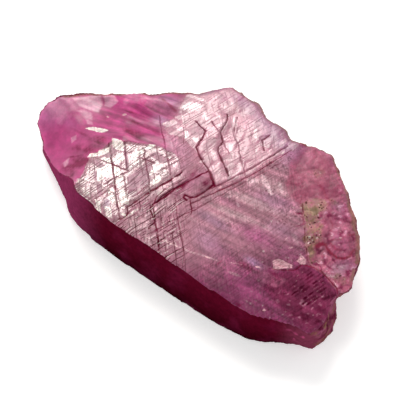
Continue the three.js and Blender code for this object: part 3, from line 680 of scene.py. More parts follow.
def relax(values, edges, where, amount, pull=None):
    # each point's values drift towards those of its neighbours: `amount` is the share of the way in each
    # round, and the rounds, and `pull` how much each edge counts
    share, rounds = amount
    pull = np.ones(len(edges)) if pull is None else pull
    first, second = edges.T
    count = len(values)
    total = (np.bincount(first, pull, count) + np.bincount(second, pull, count))[:, None]
    weight = (share * where)[:, None]
    for _ in range(rounds):
        pulled = np.stack([np.bincount(first, pull * column[second], count)
                           + np.bincount(second, pull * column[first], count) for column in values.T], 1)
        values = values + (pulled / total - values) * weight
    return values


def fillNarrow(heights, edges, where):
    # closes what is a few points wide: raise each to its highest neighbour, then lower it again
    closed = heights.copy()
    first, second = edges.T
    for step in (np.maximum, np.minimum):
        moved = closed.copy()
        step.at(moved, first, closed[second])
        step.at(moved, second, closed[first])
        closed = moved
    return heights + (closed - heights) * where


def refine(mesh, chosen):
    # halves the edges of the chosen faces
    work = bmesh.new()
    work.from_mesh(mesh)
    work.faces.ensure_lookup_table()
    work.edges.ensure_lookup_table()
    wanted = sorted({edge.index for face in np.flatnonzero(chosen) for edge in work.faces[face].edges})
    chosenEdges = [work.edges[index] for index in wanted]
    bmesh.ops.subdivide_edges(work, edges=chosenEdges, cuts=1, use_grid_fill=True)
    work.to_mesh(mesh)
    work.free()
    mesh.update()


def layoutOf(points, shape):
    # where a point lies on the plan that the zones and marks are drawn on
    below = shape["topHeight"] - points[:, 2:3]
    return points[:, :2] + below * np.array(shape["slant"])


# How far the mesh is eased in each place: the share of the way in each round, and the rounds
easing = {
    "rim": (0.8, 6),         # where top and walls blend
    "walls": (0.7, 40),
    "top": (0.35, 3),
    "fineTop": (0.5, 2),     # once the top is refined
    "facets": (0.6, 24),     # of the glassy break, and half of that on the shoulder
    "tip": (0.9, 40),        # of the thin end, once more
    "sides": (0.7, 4),       # the directions that the sides face
}


def softTop(points, normals, edges):
    # 1 on the top, 0 on the walls and the underside, with a soft border along the rim
    rising = smoothStep(normals[:, 2], 0.3, 0.62) * smoothStep(points[:, 2], 0.45, 0.8)
    blended = relax(rising[:, None], edges, np.ones(len(points)), easing["rim"])[:, 0]
    return smoothStep(blended, 0.35, 0.6)


def easeSolid(points, edges, upward):
    # The solid's steps in the walls are eased from foot to rim, so that the outline keeps its dents and
    # chips. The narrow cuts of the solid's cracks are closed, since finer ones are carved below.
    run = points[edges[:, 1]] - points[edges[:, 0]]
    steep = (run[:, 2] / np.maximum(np.linalg.norm(run, axis=1), 1e-6)) ** 2 + 0.02
    standing = (1 - upward) * (points[:, 2] > 0.15)
    points[:, :2] = relax(points[:, :2], edges, standing, easing["walls"], steep)
    points[:, 2] = fillNarrow(points[:, 2], edges, upward)
    return relax(points, edges, upward, easing["top"])


def wandering(entries, chance):
    # the same cracks or strokes, their lines no longer straight
    return [(*entry[:-1], jagged(entry[-1], *stoneShape["jag"], chance)) for entry in entries]


def refineTop(mesh, lines, shape):
    # the top in points half as far apart, and a quarter as far along the cracks
    refine(mesh, faceMeans(mesh, getMask(mesh, "upward")) > 0.02)
    middles = layoutOf(faceMeans(mesh, meshArrays(mesh)[0]), shape)
    near = np.zeros(len(middles), bool)
    for halfWidth, _, _, line in lines:
        near |= lineDistance(middles, line)[0] < 0.12 + halfWidth
    refine(mesh, near & (faceMeans(mesh, getMask(mesh, "upward")) > 0.6))


piece = detailedCopy(stoneShape)
points, edges = meshArrays(piece.data)
upward = softTop(points, pointNormals(piece.data, points), edges)
points = easeSolid(points, edges, upward)
setMask(piece.data, "upward", upward)
pointNormals(piece.data, points)

chance = np.random.default_rng(stoneShape["seed"])
cracks = wandering(cracks, chance)
strokes = wandering(strokes, chance)
marks["hatch"], ridges = hatchDashes(hatching, chance)
strokes += ridges
refineTop(piece.data, cracks, stoneShape)
points, edges = meshArrays(piece.data)
upward = getMask(piece.data, "upward")
points = relax(points, edges, upward, easing["fineTop"])
print("stone:", len(points), "points,", sum(len(p.vertices) - 2 for p in piece.data.polygons), "triangles")


# How strongly each zone shows the growth lines, the broad soft streaks and the dark pits, and how far it
# mutes the shortest strokes
zoneShows = {
    "ruled": {"silver": 0.7, "pale": 0.34, "satin": 0.32, "leftSatin": 0.68, "corner": 0.15},
    "swept": {"middleSatin": 0.8, "broken": 0.9, "corner": 0.6},
    "pitted": {"rightSatin": 0.7, "leftSatin": 0.5, "silver": 0.2},
}
strokeMuting = {"broken": 0.9, "pale": 0.5, "shoulder": 0.3}

# Where some parts start to show and show fully, in mm along the plan towards the notched end
fades = {
    "leftSatin": (-0.8, -2.6), "middleSatin": (-2.2, 0.5), "rightSatin": (0, 6), "swept": (-10.5, -8),
    "thinEnd": (-8.5, -10), "tipward": (-7.6, -11.5), "cornerward": (4.8, 7.5),
}


def strayed(layout, reach, size, seeds):
    # the same plan with its borders made uneven
    return layout + reach * np.stack([roughness(layout, size, seed) for seed in seeds], 1)


def layOutZones(layout, wavy, fade, upward):
    # which part of the surface each point belongs to, and which patterns show there
    zone = {name: insideOutline(wavy, outline, zoneEdges[name]) * upward for name, outline in zones.items()}
    zone["broken"] *= (1 - zone["silver"]) * (1 - zone["pale"])
    zone["wall"] = 1 - upward
    zone["flat"] = upward * (1 - zone["shoulder"]) * (1 - zone["broken"])
    # painted shade: the flat top darker towards the notched end
    zone["duskShade"] = zone["flat"] * smoothStep(wavy @ np.array([0.8, -0.6]), 4.4, 10.2)
    satin = zone["flat"] * (1 - zone["silver"]) * (1 - zone["pale"]) * (1 - zone["corner"])
    zone["satin"] = satin
    for name in ("leftSatin", "middleSatin", "rightSatin"):
        zone[name] = satin * fade[name]
    zone["leftSatin"] *= 1 - 0.65 * smoothStep(layout[:, 1], -1.4, -0.4)   # weaker towards the far rim
    for pattern, shares in zoneShows.items():
        zone[pattern] = sum(share * zone[name] for name, share in shares.items())
    zone["swept"] *= fade["swept"]
    zone["flecked"] = upward * (0.45 + 0.75 * smoothStep(roughness(layout, 2, 105), -0.3, 0.4))
    for name, muted in strokeMuting.items():
        zone["flecked"] *= 1 - muted * zone[name]
    return zone


layout = layoutOf(points, stoneShape)
wavy = strayed(layout, 0.09, 0.8, (5, 9))
fade = {name: smoothStep(layout @ np.array([0.766, 0.643]), *ends) for name, ends in fades.items()}
zone = layOutZones(layout, wavy, fade, upward)
points = relax(points, edges, zone["broken"] + 0.5 * zone["shoulder"], easing["facets"])
points = relax(points, edges, zone["broken"] * fade["thinEnd"], easing["tip"])
normals = pointNormals(piece.data, points)
print("stone: facets eased")

# Low relief: size and depth in mm
relief = {
    "scoops": (2.6, 0.15),
    "smallScoops": (0.9, 0.035),
    "ripples": (0.45, 0.02),
    "lumps": (1.3, 0.19),
    "smallLumps": (0.45, 0.085),
    "wallDents": (2.4, 0.10),
    "wallLumps": (0.75, 0.07),
    "topSwell": (2.6, 0.03),
    "growthSteps": (0.55, 0.006),
    "panels": (0.85, 0.03),
    "grit": (0.24, 0.012),
    "silverSlope": 0.03,   # rise in mm for each mm along X
    "fringe": 1.5,         # how much deeper the wall's lumps are round the weathered shoulder
}


def smallLumps(layout, relief):
    # the smallest lumps of the shoulder: distance from the middle of each, and its own number
    crooked = layout + 0.1 * swell(layout, 0.3, 3)[:, None]
    return nearestCell(crooked, relief["smallLumps"][0], 35)[:2]


def surfaceRelief(points, layout, zone, relief):
    # how far each point moves along its normal
    lift = np.zeros(len(points))
    for name, squeeze, seed in (("scoops", 0.6, 11), ("smallScoops", 0.5, 21)):
        size, depth = relief[name]
        away = nearestCell(turned(layout, 20) * np.array([squeeze, 1]), size, seed)[0]
        lift += zone["broken"] * depth * (away * away - 0.4)
    size, depth = relief["ripples"]
    lift += zone["broken"] * depth * swell(turned(layout, 12) / np.array([8, 1]), size, 27)
    away, number, _ = nearestCell(layout, relief["lumps"][0], 31)
    lift += zone["shoulder"] * relief["lumps"][1] * (0.35 - away * away + 0.3 * (number - 0.5))
    away, number = smallLumps(layout, relief)
    lift += zone["shoulder"] * relief["smallLumps"][1] * (0.3 - away * away + 0.5 * (number - 0.5))
    fringe = 1 + relief["fringe"] * smoothStep(points[:, 0] + 0.6 * points[:, 1], 7, 10)
    squeezed = points * np.array([1, 1, 1.8])
    grit = (0.25 + 0.75 * zone["shoulder"]) * (1 - zone["wall"])
    for name, where, spots, seed in (("wallDents", zone["wall"], squeezed, 51),
                                     ("wallLumps", zone["wall"] * fringe, points, 57),
                                     ("topSwell", zone["flat"], layout, 61),
                                     ("grit", grit, points, 81)):
        size, depth = relief[name]
        lift += where * depth * roughness(spots, size, seed)
    size, depth = relief["growthSteps"]
    for degrees, strength, seed in zip(stoneShape["growth"], (1, 0.9, 0.5), (71, 73, 75)):
        ruled = swell(turned(layout, degrees) / np.array([9, 1]), size, seed)
        lift += zone["flat"] * strength * depth * np.sign(ruled) * np.abs(ruled) ** 0.5
    return lift


def growthPanels(layout, zone, relief):
    # slanted cells between the growth lines: each cell's number, and the height of its slope
    size, depth = relief["panels"]
    crossed = np.stack([turned(layout, degrees)[:, 1] for degrees in stoneShape["growth"][:2]], 1)
    _, number, way = nearestCell(crossed, size, 91)
    facing = 2 * math.pi * ((number * 7.3) % 1)
    lean = depth * (np.cos(facing) * way[:, 0] + np.sin(facing) * way[:, 1])
    return number, lean * (0.4 + 0.6 * np.clip(zone["silver"] + zone["pale"], 0, 1))


panelNumber, panelLean = growthPanels(layout, zone, relief)
slope = zone["silver"] * relief["silverSlope"] * np.clip(layout[:, 0] + 1.5, -8, 0)
lift = surfaceRelief(points, layout, zone, relief) + zone["flat"] * (panelLean + slope)
underside = (normals[:, 2] < -0.5) & (points[:, 2] < 0.2)
points += normals * np.where(underside, 0, lift)[:, None]
points[:, 2] = np.maximum(points[:, 2], 0)
print("stone: relief laid on")


def carve(points, grooveTintAndShade, top, halfWidth, depth, dark, line):
    # a V-shaped crack: the nearest points slide onto its line, so that the bottom stays sharp
    corners = np.array(line)
    low, high = corners.min(0) - 3 * halfWidth, corners.max(0) + 3 * halfWidth
    place = layoutOf(points[top], stoneShape)
    within = ((place > low) & (place < high)).all(1)
    near, place = top[within], place[within]
    away, foot = lineDistance(place, line)
    snap = away < stoneShape["snap"] * stoneShape["grain"]
    points[near[snap], :2] += (foot - place)[snap]
    away = np.where(snap, 0, away)
    waver = 0.9 + 0.45 * swell(foot, 0.4, 17) + 0.2 * swell(foot, 0.15, 19)
    dark = dark * (0.92 + 0.2 * swell(foot, 0.7, 23))
    points[near, 2] -= depth * waver * np.clip(1 - away / (halfWidth * waver * 1.2), 0, 1)
    # the crack's dark colour, partly the stone's dark crimson, partly painted shade
    grooveTintAndShade[near] = np.maximum(grooveTintAndShade[near], dark * np.clip(1.3 - away / (halfWidth * waver), 0, 1))


grooveTintAndShade = np.zeros(len(points))
for halfWidth, depth, dark, line in cracks:
    carve(points, grooveTintAndShade, np.flatnonzero(upward > 0.4), halfWidth, depth, dark, line)
normals = pointNormals(piece.data, points)
layout = layoutOf(points, stoneShape)
print("stone: cracks cut")


# The far side's rim, brownish and darker as painted shade, the lumpy shoulder and the outer part of the dark
# corner
weather = {
    "shadedRimWidth": 0.17,          # mm, and twice that round the shoulder
    "shoulderRim": (6, 11),    # mm along X between which the rim widens
    "bandWidth": 0.5,          # mm, the darker band inside the rim
    "bandStart": (-6.4, -5),   # mm along X between which the band sets in
    "gaps": 0.95,              # how dark the painted shade in the gaps between the lumps is
    "topHighlight": 0.95,          # how bright the painted highlights on top of the palest lumps are,
    "palest": 0.55,            # which are those whose own number is over this
    "highlightGrain": 0.22,         # mm
    "stainPits": 2.4,          # how strongly the stain is pitted
    "mossSize": 0.35,          # mm
    "blotchSize": 0.4,         # mm
    "scratches": (0.8, 0.3),   # how pale the scratches between the blotches are, and mm between them
}


def blotches(spots, size, seed, low, high):
    # patches of uneven shape: 0 where the noise is under `low`, 1 where it is over `high`
    return smoothStep(roughness(spots, size, seed), low, high)


def drawMarks(zone, layout, wavy, upward):
    # the patches, small faces and strokes of each kind, the strongest of them at each point
    for kind, entries in marks.items():
        drawn = [patch(layout, *entry, *markShapes[kind]) for entry in entries]
        spots = wavy + 0.25 * roughness(layout, 0.7, 95)[:, None] if kind == "stain" else wavy
        drawn += [strength * insideOutline(spots, outline, soft)
                  for strength, soft, outline in facets.get(kind, [])]
        zone[kind] = np.max(drawn, 0) * upward
    uneven = 1 + 0.4 * swell(layout, 0.4, 29)
    for kind, halfWidth, strength, line in strokes:
        away = lineDistance(layout, line)[0] / (halfWidth * uneven)
        zone[kind] = np.maximum(zone.get(kind, 0), strength * np.clip(1.3 - away, 0, 1) * upward)
    zone["thread"] *= 0.3 + 0.9 * blotches(layout, 0.35, 107, -0.15, 0.25)


def drawBorder(zone, layout, fade, points, sides, upward):
    # the rim of the far side, brownish and darker as painted shade, with a darker band inside it, and the
    # ways the walls face
    border = np.flatnonzero((upward > 0.25) & (upward < 0.75))
    away, which = nearestOf(points, points[border])
    outward = sides[border[which]]
    outward = smoothStep(outward[:, 1] - 0.05 * outward[:, 0], 0, 0.1)
    outward *= smoothStep(layout @ np.array([1, -1]), 15, 13.5)
    shadedRimWidth = weather["shadedRimWidth"] * (1 + smoothStep(layout[:, 0], *weather["shoulderRim"]))
    shadedRimWidth += 0.05 * swell(layout, 0.8, 87)
    # painted shade along the far rim
    zone["rim"] = upward * smoothStep(away / shadedRimWidth, 1.4, 0.6) * outward
    bandWidth = weather["bandWidth"] * (1 + 0.5 * swell(layout, 1.1, 97))
    zone["band"] = upward * outward * smoothStep(away / bandWidth, 1.3, 0.4)
    zone["band"] *= smoothStep(layout[:, 0], *weather["bandStart"]) * (1 - 0.5 * zone["shoulder"])
    zone["wall"] = (1 - upward) * (1 - 0.8 * outward)
    # walls that face the camera, which the wall colours leave darker as painted shade
    zone["near"] = smoothStep(-sides[:, 1] - 0.35 * sides[:, 0], -0.1, 0.5)
    zone["tipward"] = fade["tipward"]
    zone["cornerward"] = fade["cornerward"]


def drawWeather(zone, layout, wavy):
    # painted shade in the gaps between the shoulder's lumps and painted highlights on their tops, moss brown
    # in the stain, and in the corner dark blotches and pale scratches where it runs out towards the notch
    away, number = smallLumps(layout, relief)
    cobbled = zone["shoulder"] * (0.3 + 0.7 * smoothStep(layout @ np.array([1, -0.6]), 4, 8))
    cobbled *= 1 - zone["stain"].clip(0, 1)
    # painted shade in the gaps between the lumps, laid into the deep layer
    gaps = weather["gaps"] * cobbled * smoothStep(away, 0.45, 0.8)
    zone["deep"] = np.maximum(zone["deep"], gaps)
    zone["deep"] *= 1 + 0.9 * roughness(turned(layout, 20) * np.array([0.5, 1]), 0.45, 85)
    # painted highlights on the tops of the palest lumps
    lumpHighlights = cobbled * (number > weather["palest"]) * smoothStep(away, 0.5, 0.2)
    lumpHighlights *= blotches(layout, weather["highlightGrain"], 111, -0.15, 0.2)
    zone["blush"] = np.maximum(zone["blush"], weather["topHighlight"] * lumpHighlights)
    zone["pitted"] = np.maximum(zone["pitted"], weather["stainPits"] * zone["stain"])
    zone["moss"] = zone["stain"] * blotches(wavy, weather["mossSize"], 109, -0.05, 0.35)
    zone["stain"] *= 0.75 + 1.1 * roughness(layout, 0.4, 83)
    outer = zone["corner"] * smoothStep(layout @ np.array([0.8, -0.6]), 9.5, 12)
    slanted = turned(layout, 60) * np.array([0.6, 1])
    zone["blotch"] = outer * blotches(slanted, weather["blotchSize"], 101, 0, 0.5)
    paleness, spacing = weather["scratches"]
    scratches = paleness * outer * blotches(layout, spacing, 103, 0.25, 0.5)
    zone["mauve"] = np.maximum(zone["mauve"], scratches)
    lumpy = np.maximum(zone["shoulder"], 0.7 * zone["broken"])
    zone["panel"] = panelNumber + (number - panelNumber) * lumpy


# The colours of the top, laid over each other: mask, colour, roughness, where the mask starts and is full,
# and how far the growth lines break it up
topLayers = [
    # painted shade: the flat top darker towards the notched end
    ("duskShade", "#7a3156", 0.5, 0.0, 1.0, 0.2),
    ("broken", "#b13f79", 0.35, 0.0, 1.0, 0.0),
    ("pale", "#c07f94", 0.3, 0.0, 1.0, 0.0),
    ("silver", "#ae7b89", 0.22, 0.0, 1.0, 0.0),
    ("corner", "#752f4c", 0.6, 0.0, 1.0, 0.3),
    ("shoulder", "#a7556f", 0.5, 0.0, 1.0, 0.0),
    ("mauve", "#a3687e", 0.5, 0.2, 0.8, 0.3),
    ("ray", "#c096a0", 0.35, 0.2, 1.0, 0.5),
    ("magenta", "#a04c7a", 0.4, 0.0, 1.3, 0.2),
    # partly painted glow round the thin tip
    ("lavender", "#a47fa4", 0.35, 0.0, 1.4, 0.1),
    ("band", "#8c3c66", 0.4, 0.0, 1.0, 0.2),
    # dark patches, and painted shade in the gaps between the shoulder's lumps
    ("deep", "#780c40", 0.6, 0.0, 0.9, 0.3),
    ("stain", "#a07a68", 0.55, 0.1, 0.9, 0.5),
    ("moss", "#66502e", 0.6, 0.0, 1.3, 0.5),
    ("blotch", "#54152f", 0.6, 0.0, 1.1, 0.3),
    # pale pink, partly painted highlights on tilted facets and lump tops, partly painted glow round the thin
    # tip
    ("blush", "#d495b0", 0.25, 0.1, 1.1, 0.2),
    ("gleam", "#f0c8d2", 0.22, 0.25, 0.9, 0.5),
    # painted reflection of the softbox
    ("whiteGlare", "#fff0ea", 0.16, 0.3, 0.8, 0.6),
    # painted glints on chips
    ("chipGlint", "#d4a0ab", 0.2, 0.3, 0.7, 0.2),
    ("hatch", "#480420", 0.6, 0.2, 0.8, 0.0),
    # painted shade in creases
    ("fold", "#88133a", 0.5, 0.1, 0.9, 0.2),
    # painted shade along the far rim
    ("rim", "#82504a", 0.6, 0.0, 1.0, 0.3),
    ("wall", "#4e0922", 0.8, 0.15, 0.45, 0.0),
    ("thread", "#e8b8be", 0.25, 0.2, 0.9, 0.3),
    # the cracks' dark crimson, partly painted shade
    ("grooveTintAndShade", "#700c30", 0.9, 0.1, 0.8, 0.0),
]
topMasks = [layer[0] for layer in topLayers] + ["ruled", "swept", "pitted", "flecked", "panel"]
wallMasks = ["near", "tipward", "cornerward"]

sides = relax(normals, edges, np.ones(len(points)), easing["sides"])
drawMarks(zone, layout, wavy, upward)
drawBorder(zone, layout, fade, points, sides, upward)
drawWeather(zone, layout, wavy)
zone["grooveTintAndShade"] = grooveTintAndShade
for name in topMasks + wallMasks:
    setMask(piece.data, name, zone[name])
piece.data.vertices.foreach_set("co", (points * mm).astype(np.float32).ravel())
piece.data.update()
piece.data.shade_smooth()
print("stone: marks laid out")

# Corundum as it grew and broke. The silvery face lies smooth along the crystal's own plane and shines in the
# light; the satin one is etched and ruled by its growth, so it stays soft and pink; the weathered one is
# lumpy and dull; the glassy one broke fresh and glows from inside; the corner is etched through and dark.
finishes = {
    "silvery corundum growth face": {"specular": 0.5, "softness": 0.12, "bump": 0.7},
    "satin corundum growth face": {"specular": 0.06, "softness": 0.12, "bump": 0.5},
    "weathered corundum": {"specular": 0.2, "softness": 0.2, "bump": 0.8},
    "glassy corundum break": {"specular": 0.16, "softness": 0.3, "bump": 0.1},
    "etched corundum corner": {"specular": 0.0, "softness": 0.12, "bump": 0.6},
}

growthFace = {
    "ior": 1.77,
    "body": "#b67e8f",
    "cloudy": "#a37180",
    "roughness": 0.45,
    "etchedRoughness": 0.9,
    "light": (1.0, 0.3, 0.5),    # mm that red, green and blue light spread inside
    # growth lines: direction in degrees, then reach, spacing and half width in mm, strength, and how rarely
    # they show; real ones are finer still, and are drawn as wide as they need to show
    "darkLines": [(78, 3.5, 0.45, 0.045, 1.0, 0.49), (-42, 3.5, 0.8, 0.042, 0.9, 0.51),
                  (18, 2.5, 1.2, 0.035, 0.6, 0.53), (78, 0.9, 0.2, 0.038, 1.0, 0.49),
                  (-42, 0.7, 0.3, 0.034, 0.75, 0.53)],
    "lightLines": [(78, 0.9, 0.26, 0.04, 0.6, 0.53), (-42, 0.8, 0.4, 0.035, 0.4, 0.56)],
    "darkLine": "#4f0c20",
    "lightLine": "#fff0ec",
    "lineCore": 0.35,            # share of a line's half width that is at full strength
    "bend": (0.5, 4.0),          # mm that the lines wander, and over how far
    "silk": (3.5, 0.14),         # mm, length and spacing of the finest growth lines
    "flecks": (0.5, 0.13),       # mm, length and width of the shortest strokes
    "streak": (3.2, 0.42),       # mm, length and width of the broad soft streaks
    "streakDirection": 12,       # degrees
    "cloudSize": 1.11,           # mm
    "pitSpacing": 0.28,          # mm
    "splinterSpacing": 0.4,      # mm
    "gatherSize": 0.91,          # mm, how far apart pits and splinters gather
    "gathering": (0.42, 0.58),   # where the noise brings the first of them, and all
    "pitReach": (0.35, 0.08),    # radius of the largest pits and half of their soft edge, in spacings
    "splinterReach": (0.05, 0.3),   # from its bright core to its edge, in spacings
    "bare": 0.5,                 # share of the places without a splinter
    "ragged": (0.22, 0.2),       # mm that their outlines stray, and over how far
    # how much darker or lighter each pattern makes the colour
    "silkDepth": 0.2,
    "streakDepth": 0.36,
    "cloudDepth": 0.18,
    "fleckDepth": 0.32,
    "panelShades": (0.87, 1.12),
    "bumpDistance": 0.02,        # mm
}


def streaks(tree, place, degrees, size, detail):
    # noise drawn out along one direction
    settings = {0: place, "Rotation": (0, 0, math.radians(degrees)), "Scale": (*size, 1)}
    ruled = addNode(tree, "Mapping", settings, vector_type="TEXTURE")
    return addNode(tree, "TexNoise", {"Vector": ruled, "Scale": 1, "Detail": detail}, noise_dimensions="2D")


def crossedStreaks(tree, place, size, detail, low, high):
    # the same streaks along the two main growth directions, from 0 to 1
    first, second = [streaks(tree, place, degrees, size, detail) for degrees in stoneShape["growth"][:2]]
    both = addNode(tree, "Math", {0: first, 1: second}, operation="ADD")
    return addNode(tree, "MapRange", {0: both, 1: low, 2: high})


def growthLines(tree, place, rulings, core):
    # thin lines at uneven distances across each direction, each of them shown along parts of its run
    add = partial(addNode, tree)
    lines = 0.0
    for degrees, reach, spacing, width, strength, rarity in rulings:
        along = add("Mapping", {0: place, "Rotation": (0, 0, math.radians(degrees))}, vector_type="TEXTURE")
        split = add("SeparateXYZ", {0: along}).node.outputs
        cell = {"W": split["Y"], "Scale": 1 / spacing}
        cell = add("TexVoronoi", cell, voronoi_dimensions="1D").node.outputs
        across = {0: cell["Distance"], 1: core * width / spacing, 2: width / spacing, 3: strength, 4: 0}
        line = add("MapRange", across, interpolation_type="SMOOTHSTEP")
        part = add("Math", {0: split["X"], 1: reach}, operation="DIVIDE")
        own = add("Math", {0: cell["Color"], 1: 37}, operation="MULTIPLY")   # another noise for each line
        runs = add("CombineXYZ", {"X": part, "Y": own})
        shown = add("TexNoise", {"Vector": runs, "Scale": 1, "Detail": 1}, noise_dimensions="2D")
        shown = add("MapRange", {0: shown, 1: rarity, 2: rarity + 0.08})
        line = add("Math", {0: line, 1: shown}, operation="MULTIPLY")
        lines = add("Math", {0: line, 1: lines}, operation="MAXIMUM")
    return lines


def pitsAndSplinters(tree, place, gathering, look):
    # dark specks a few tenths of a millimetre apart where they gather, and splinters between them, which
    # catch the light
    add = partial(addNode, tree)
    reach, size = look["ragged"]
    stray = add("TexNoise", {"Vector": place, "Scale": 1 / size, "Detail": 2}, "Color", noise_dimensions="2D")
    ragged = add("VectorMath", {0: stray, 1: (reach, reach, 0), 2: place}, operation="MULTIPLY_ADD")
    gather = {"Vector": place, "Scale": 1 / look["gatherSize"], "Detail": 2}
    gather = add("TexNoise", gather, noise_dimensions="2D")
    start, full = look["gathering"]
    gather = add("MapRange", {0: gather, 1: start, 2: full, 3: 0, 4: 0.8})
    gathered = add("Math", {0: gather, 1: gathering}, operation="MULTIPLY")
    cells = {"Vector": ragged, "Scale": 1 / look["pitSpacing"]}
    pit = add("TexVoronoi", cells, voronoi_dimensions="2D").node.outputs
    largest, soft = look["pitReach"]
    own = add("Math", {0: pit["Color"], 1: largest}, operation="MULTIPLY")
    depth = add("Math", {0: pit["Distance"], 1: own}, operation="SUBTRACT")
    pits = add("MapRange", {0: depth, 1: -soft, 2: soft, 3: 1, 4: 0}, interpolation_type="SMOOTHSTEP")
    cells = {"Vector": ragged, "Scale": 1 / look["splinterSpacing"]}
    splinter = add("TexVoronoi", cells, voronoi_dimensions="2D").node.outputs
    kept = add("MapRange", {0: splinter["Color"], 1: look["bare"], 2: 1, 3: 0, 4: 0.9})
    core, edge = look["splinterReach"]
    bright = {0: splinter["Distance"], 1: core, 2: edge, 3: 0.8, 4: 0}
    bright = add("MapRange", bright, interpolation_type="SMOOTHSTEP")
    bright = add("Math", {0: bright, 1: kept}, operation="MULTIPLY")
    return [add("Math", {0: specks, 1: gathered}, operation="MULTIPLY") for specks in (pits, bright)]


def layerColours(tree, colour, silk, mask, look):
    # lays the colours and the roughness of topLayers over the body of the stone; sockets 6 and 7 of a Mix
    # node are its two colours, 2 and 3 its two values
    add = partial(addNode, tree)
    gloss = look["roughness"]
    for layer, hexText, rough, start, full, breakUp in topLayers:
        share = mask[layer]
        if breakUp:
            broken = add("MapRange", {0: silk, 3: 1 - breakUp, 4: 1 + breakUp})
            share = add("Math", {0: share, 1: broken}, operation="MULTIPLY")
        share = add("MapRange", {0: share, 1: start, 2: full})
        colour = add("Mix", {0: share, 6: colour, 7: linearColour(hexText)}, 2, data_type="RGBA")
        gloss = add("Mix", {0: share, 2: gloss, 3: rough})
    return colour, gloss


def makeTop(name, finish, look):
    material, shader = newMaterial(name, {
        "IOR": look["ior"], "Specular IOR Level": finish["specular"],
        "Subsurface Weight": finish["softness"], "Subsurface Radius": look["light"], "Subsurface Scale": mm})
    tree = material.node_tree
    add = partial(addNode, tree)
    mask = {layer: add("Attribute", out="Fac", attribute_name=layer) for layer in topMasks}
    place = add("TexCoord", out="Object")
    place = add("VectorMath", {0: place, "Scale": 1 / mm}, operation="SCALE")   # in mm from here on

    # Growth lines, bent as the crystal bent when it grew
    reach, size = look["bend"]
    bend = add("TexNoise", {"Vector": place, "Scale": 1 / size, "Detail": 0}, "Color", noise_dimensions="2D")
    bent = add("VectorMath", {0: bend, 1: (reach, reach, 0), 2: place}, operation="MULTIPLY_ADD")
    darkLines = growthLines(tree, bent, look["darkLines"], look["lineCore"])
    darkLines = add("Math", {0: darkLines, 1: mask["ruled"]}, operation="MULTIPLY")
    lightLines = growthLines(tree, bent, look["lightLines"], look["lineCore"])
    strongest = add("MapRange", {0: mask["ruled"], 1: 0.5, 2: 1})
    lightLines = add("Math", {0: lightLines, 1: strongest}, operation="MULTIPLY")
    # Silk: the finest lines, too close to tell apart, as a streaky light and dark
    silk = crossedStreaks(tree, place, look["silk"], 2, 0.6, 1.4)
    flecks = crossedStreaks(tree, place, look["flecks"], 1, 0.65, 1.35)
    # Broad streaks and clouds under the surface
    sweep = streaks(tree, bent, look["streakDirection"], look["streak"], 3)
    sweep = add("MapRange", {0: sweep, 1: 0.3, 2: 0.7})
    cloud = {"Vector": place, "Scale": 1 / look["cloudSize"], "Detail": 4, "Roughness": 0.6}
    cloud = add("MapRange", {0: add("TexNoise", cloud, noise_dimensions="2D"), 1: 0.3, 2: 0.7})
    pits, splinters = pitsAndSplinters(tree, place, mask["pitted"], look)
    lightLines = add("Math", {0: lightLines, 1: splinters}, operation="MAXIMUM")

    body, cloudy = linearColour(look["body"]), linearColour(look["cloudy"])
    colour = add("Mix", {0: cloud, 6: body, 7: cloudy}, 2, data_type="RGBA")
    colour, gloss = layerColours(tree, colour, silk, mask, look)
    # light and shade of the slanted panels, the silk, the broad streaks and the clouds
    darkest, lightest = look["panelShades"]
    shade = add("MapRange", {0: mask["panel"], 3: darkest, 4: lightest})
    for pattern, depth, where in ((silk, look["silkDepth"], mask["ruled"]),
                                  (sweep, look["streakDepth"], mask["swept"]),
                                  (cloud, look["cloudDepth"], 1),
                                  (flecks, look["fleckDepth"], mask["flecked"])):
        swing = add("MapRange", {0: pattern, 3: -depth, 4: depth})
        factor = add("Math", {0: swing, 1: where, 2: 1}, operation="MULTIPLY_ADD")
        shade = add("Math", {0: shade, 1: factor}, operation="MULTIPLY")
    colour = add("VectorMath", {0: colour, "Scale": shade}, operation="SCALE")
    etched = add("Math", {0: darkLines, 1: pits}, operation="MAXIMUM")
    for share, hexText in ((lightLines, look["lightLine"]), (etched, look["darkLine"])):
        colour = add("Mix", {0: share, 6: colour, 7: linearColour(hexText)}, 2, data_type="RGBA")
    gloss = add("Mix", {0: etched, 2: gloss, 3: look["etchedRoughness"]})
    height = add("Math", {0: silk, 1: -0.25, 2: etched}, operation="MULTIPLY_ADD")
    bump = {"Height": height, "Strength": finish["bump"], "Distance": look["bumpDistance"] * mm}
    tree.links.new(colour, shader.inputs["Base Color"])
    tree.links.new(gloss, shader.inputs["Roughness"])
    tree.links.new(add("Bump", bump, invert=True), shader.inputs["Normal"])
    return material


# The same corundum where it broke across: a dull wall, deep crimson because little light comes out of it, but
# pink where the stone is thin and light gets through.
brokenWall = {
    "ior": 1.77,
    "specular": 0.0,
    "roughness": 0.8,
    # painted shade: the walls darker towards the floor
    "foot": "#270209",
    "upper": "#4e071c",
    "shading": (0.3, 3.4),  # mm above the floor between which the one turns into the other
    "grainSize": 0.333,     # mm
    "grainShades": (0.78, 1.22),
    "bump": 0.6,
    "bumpDistance": 0.05,   # mm
}

